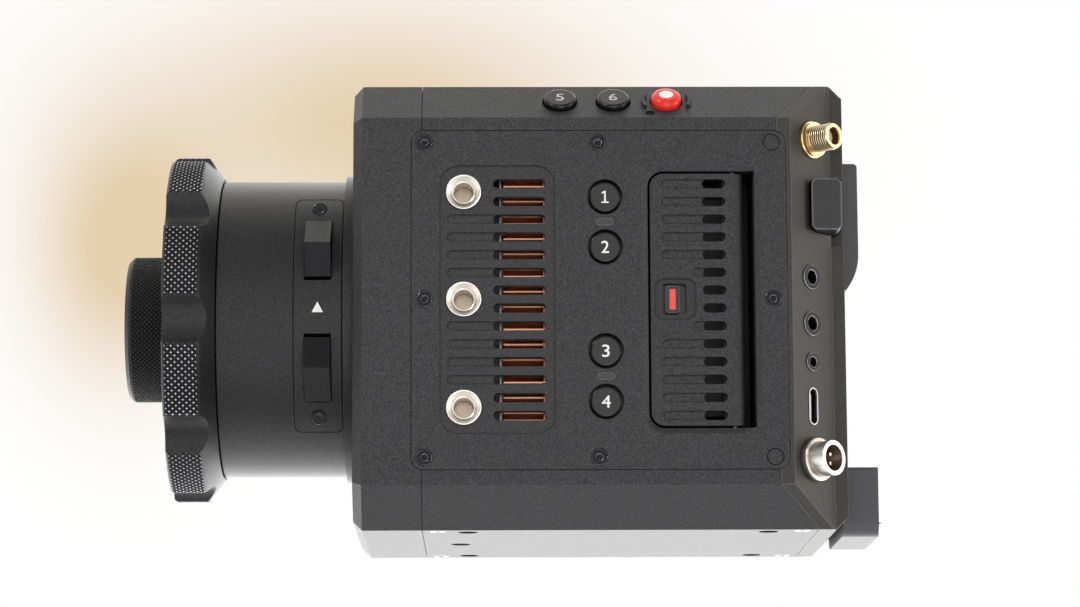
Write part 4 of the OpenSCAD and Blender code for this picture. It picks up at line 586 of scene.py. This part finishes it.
on_thread = add(tree, "ShaderNodeMapRange", {"Value": out_from_panel.outputs["Value"]}, clamp=False,
                in_From_Min=thread_base + thread_start - thread_pitch / 2,
                in_From_Max=thread_base + thread_start + (thread_turns - 0.5) * thread_pitch)
upper_end = add(tree, "ShaderNodeMath", {0: on_thread.outputs[0]}, operation="LESS_THAN")
upper_end.inputs[1].default_value = 1.0
lower_end = add(tree, "ShaderNodeMath", {0: on_thread.outputs[0]}, operation="GREATER_THAN")
lower_end.inputs[1].default_value = 0.0
rooted = add(tree, "ShaderNodeMath", {0: upper_end.outputs[0], 1: lower_end.outputs[0]}, operation="MULTIPLY")
painted_root_shade = add(tree, "ShaderNodeMix", {0: rooted.outputs[0]}, data_type="RGBA")
painted_root_shade.inputs["A"].default_value = linear("#fae3b4")
painted_root_shade.inputs["B"].default_value = linear("#5a3413")
barrel_gold = add(tree, "ShaderNodeBsdfPrincipled", {"Base Color": painted_root_shade.outputs["Result"]},
                  in_Roughness=0.26, in_Metallic=1.0)
add(tree, "ShaderNodeOutputMaterial", {"Surface": barrel_gold.outputs[0]})
finish(gold_thread, "antenna_connector")
bright_nickel = surface("bright nickel contacts", "#cfcfd0", 0.28, metallic=1.0, edge_mm=0.1)
finish(bright_nickel, "contact_pins", "connector_pins")
white_insulator = surface("white insulator", "#efece0", 0.5)
finish(white_insulator, "antenna_insulator")
PANEL_TURN = Matrix.Rotation(math.radians(45), 4, "Z") @ Matrix.Rotation(math.radians(90), 4, "X")


def on_panel(z_mm, shift_mm, out_mm):
    return Matrix.Translation((panel_x, panel_y, SIDE_Z + z_mm * MM)) @ PANEL_TURN @ \
        Matrix.Translation((shift_mm * MM, 0, out_mm * MM))


def thread_tree():
    tree = bpy.data.node_groups.new("threaded barrel", "GeometryNodeTree")
    for name, kind in (("Radius", "Float"), ("Ridge", "Float"), ("Pitch", "Float"), ("Turns", "Int"),
                       ("Material", "Material")):
        tree.interface.new_socket(name=name, in_out="INPUT", socket_type="NodeSocket" + kind)
    tree.interface.new_socket(name="Geometry", in_out="OUTPUT", socket_type="NodeSocketGeometry")
    given = add(tree, "NodeGroupInput")
    ring = add(tree, "GeometryNodeCurvePrimitiveCircle", {"Radius": given.outputs["Radius"]},
               in_Resolution=40)
    section = add(tree, "GeometryNodeCurvePrimitiveCircle", {"Radius": given.outputs["Ridge"]},
                  in_Resolution=4)
    ridge = add(tree, "GeometryNodeCurveToMesh", {"Curve": ring.outputs[0],
                                                  "Profile Curve": section.outputs[0]})
    rise = add(tree, "ShaderNodeCombineXYZ", {2: given.outputs["Pitch"]})
    line = add(tree, "GeometryNodeMeshLine", {"Count": given.outputs["Turns"], "Offset": rise.outputs[0]},
               mode="OFFSET")
    copies = add(tree, "GeometryNodeInstanceOnPoints", {"Points": line.outputs[0],
                                                        "Instance": ridge.outputs[0]})
    real = add(tree, "GeometryNodeRealizeInstances", {0: copies.outputs[0]})
    dressed = add(tree, "GeometryNodeSetMaterial", {"Geometry": real.outputs[0],
                                                    "Material": given.outputs["Material"]})
    add(tree, "NodeGroupOutput", {"Geometry": dressed.outputs[0]})
    return tree


# The ridges are painted from dark brown at the root to pale gold at the crest: painted shade and a painted
# highlight.
gold_ridge, tree = new_material("gold plate with a painted highlight on the thread crests")
antenna_centre = on_panel(antenna_height, antenna_shift, 0).translation
from_axis = add(tree, "ShaderNodeVectorMath", {0: add(tree, "ShaderNodeTexCoord").outputs["Object"]},
                operation="SUBTRACT")
from_axis.inputs[1].default_value = antenna_centre
beside = add(tree, "ShaderNodeVectorMath", {0: from_axis.outputs[0]}, operation="CROSS_PRODUCT")
beside.inputs[1].default_value = panel_out
reach = add(tree, "ShaderNodeVectorMath", {0: beside.outputs[0]}, operation="LENGTH")
crest = add(tree, "ShaderNodeMapRange", {"Value": reach.outputs["Value"]}, in_From_Min=root_r,
            in_From_Max=crest_r)
crest_highlight_root_shade = add(tree, "ShaderNodeMix", {0: crest.outputs[0]}, data_type="RGBA")
crest_highlight_root_shade.inputs["A"].default_value = linear("#6b3d14")
crest_highlight_root_shade.inputs["B"].default_value = linear("#fff0cc")
ridge_gold = add(tree, "ShaderNodeBsdfPrincipled", {"Base Color": crest_highlight_root_shade.outputs["Result"]}, in_Roughness=0.28,
                 in_Metallic=1.0)
add(tree, "ShaderNodeOutputMaterial", {"Surface": ridge_gold.outputs[0]})
thread = grown("antenna_thread", thread_tree(), "body", "gold", Radius=thread_r, Ridge=ridge_r,
               Pitch=thread_pitch, Turns=thread_turns, Material=gold_ridge)
thread.data.transform(on_panel(antenna_height, antenna_shift, thread_start / MM))

# Jacks, USB mouth and power connector: turned and drawn metal shells. The jacks' rings
# are blackened, and the power connector is satin chrome.
# A painted highlight lightens the rims of the rings.
black_ring = surface("blackened jack ring", "#2e2e30", 0.25, metallic=0.8, edge_mm=0.4, painted_edge_highlight=1.0)
finish(black_ring, "mic_jack", "headphone_jack", "remote_jack")
# Painted shade darkens the inside of the mouth.
drawn_steel = surface("drawn steel shell", "#b5b5b8", 0.28, metallic=1.0, edge_mm=0.12, painted_shade_mm=1.6)
finish(drawn_steel, "usb_port")
# Painted shade turns the inside of the bore dark amber.
satin_chrome = surface("satin chrome", "#e8e5df", 0.32, metallic=1.0, grain=0.08, grain_mm=0.3, edge_mm=0.25,
                       painted_shade_mm=3.5, painted_shade_colour="#6e4d25")
finish(satin_chrome, "power_connector")

# Battery release button: a block of moulded plastic standing out of the slanted panel.
# A painted highlight lightens the button's edges.
release_black = surface("release button plastic", "#1b1b1c", 0.4, grain=0.06, grain_mm=0.3, edge_mm=0.7,
                        painted_edge_highlight=0.5)
finish(release_black, "battery_release_button")
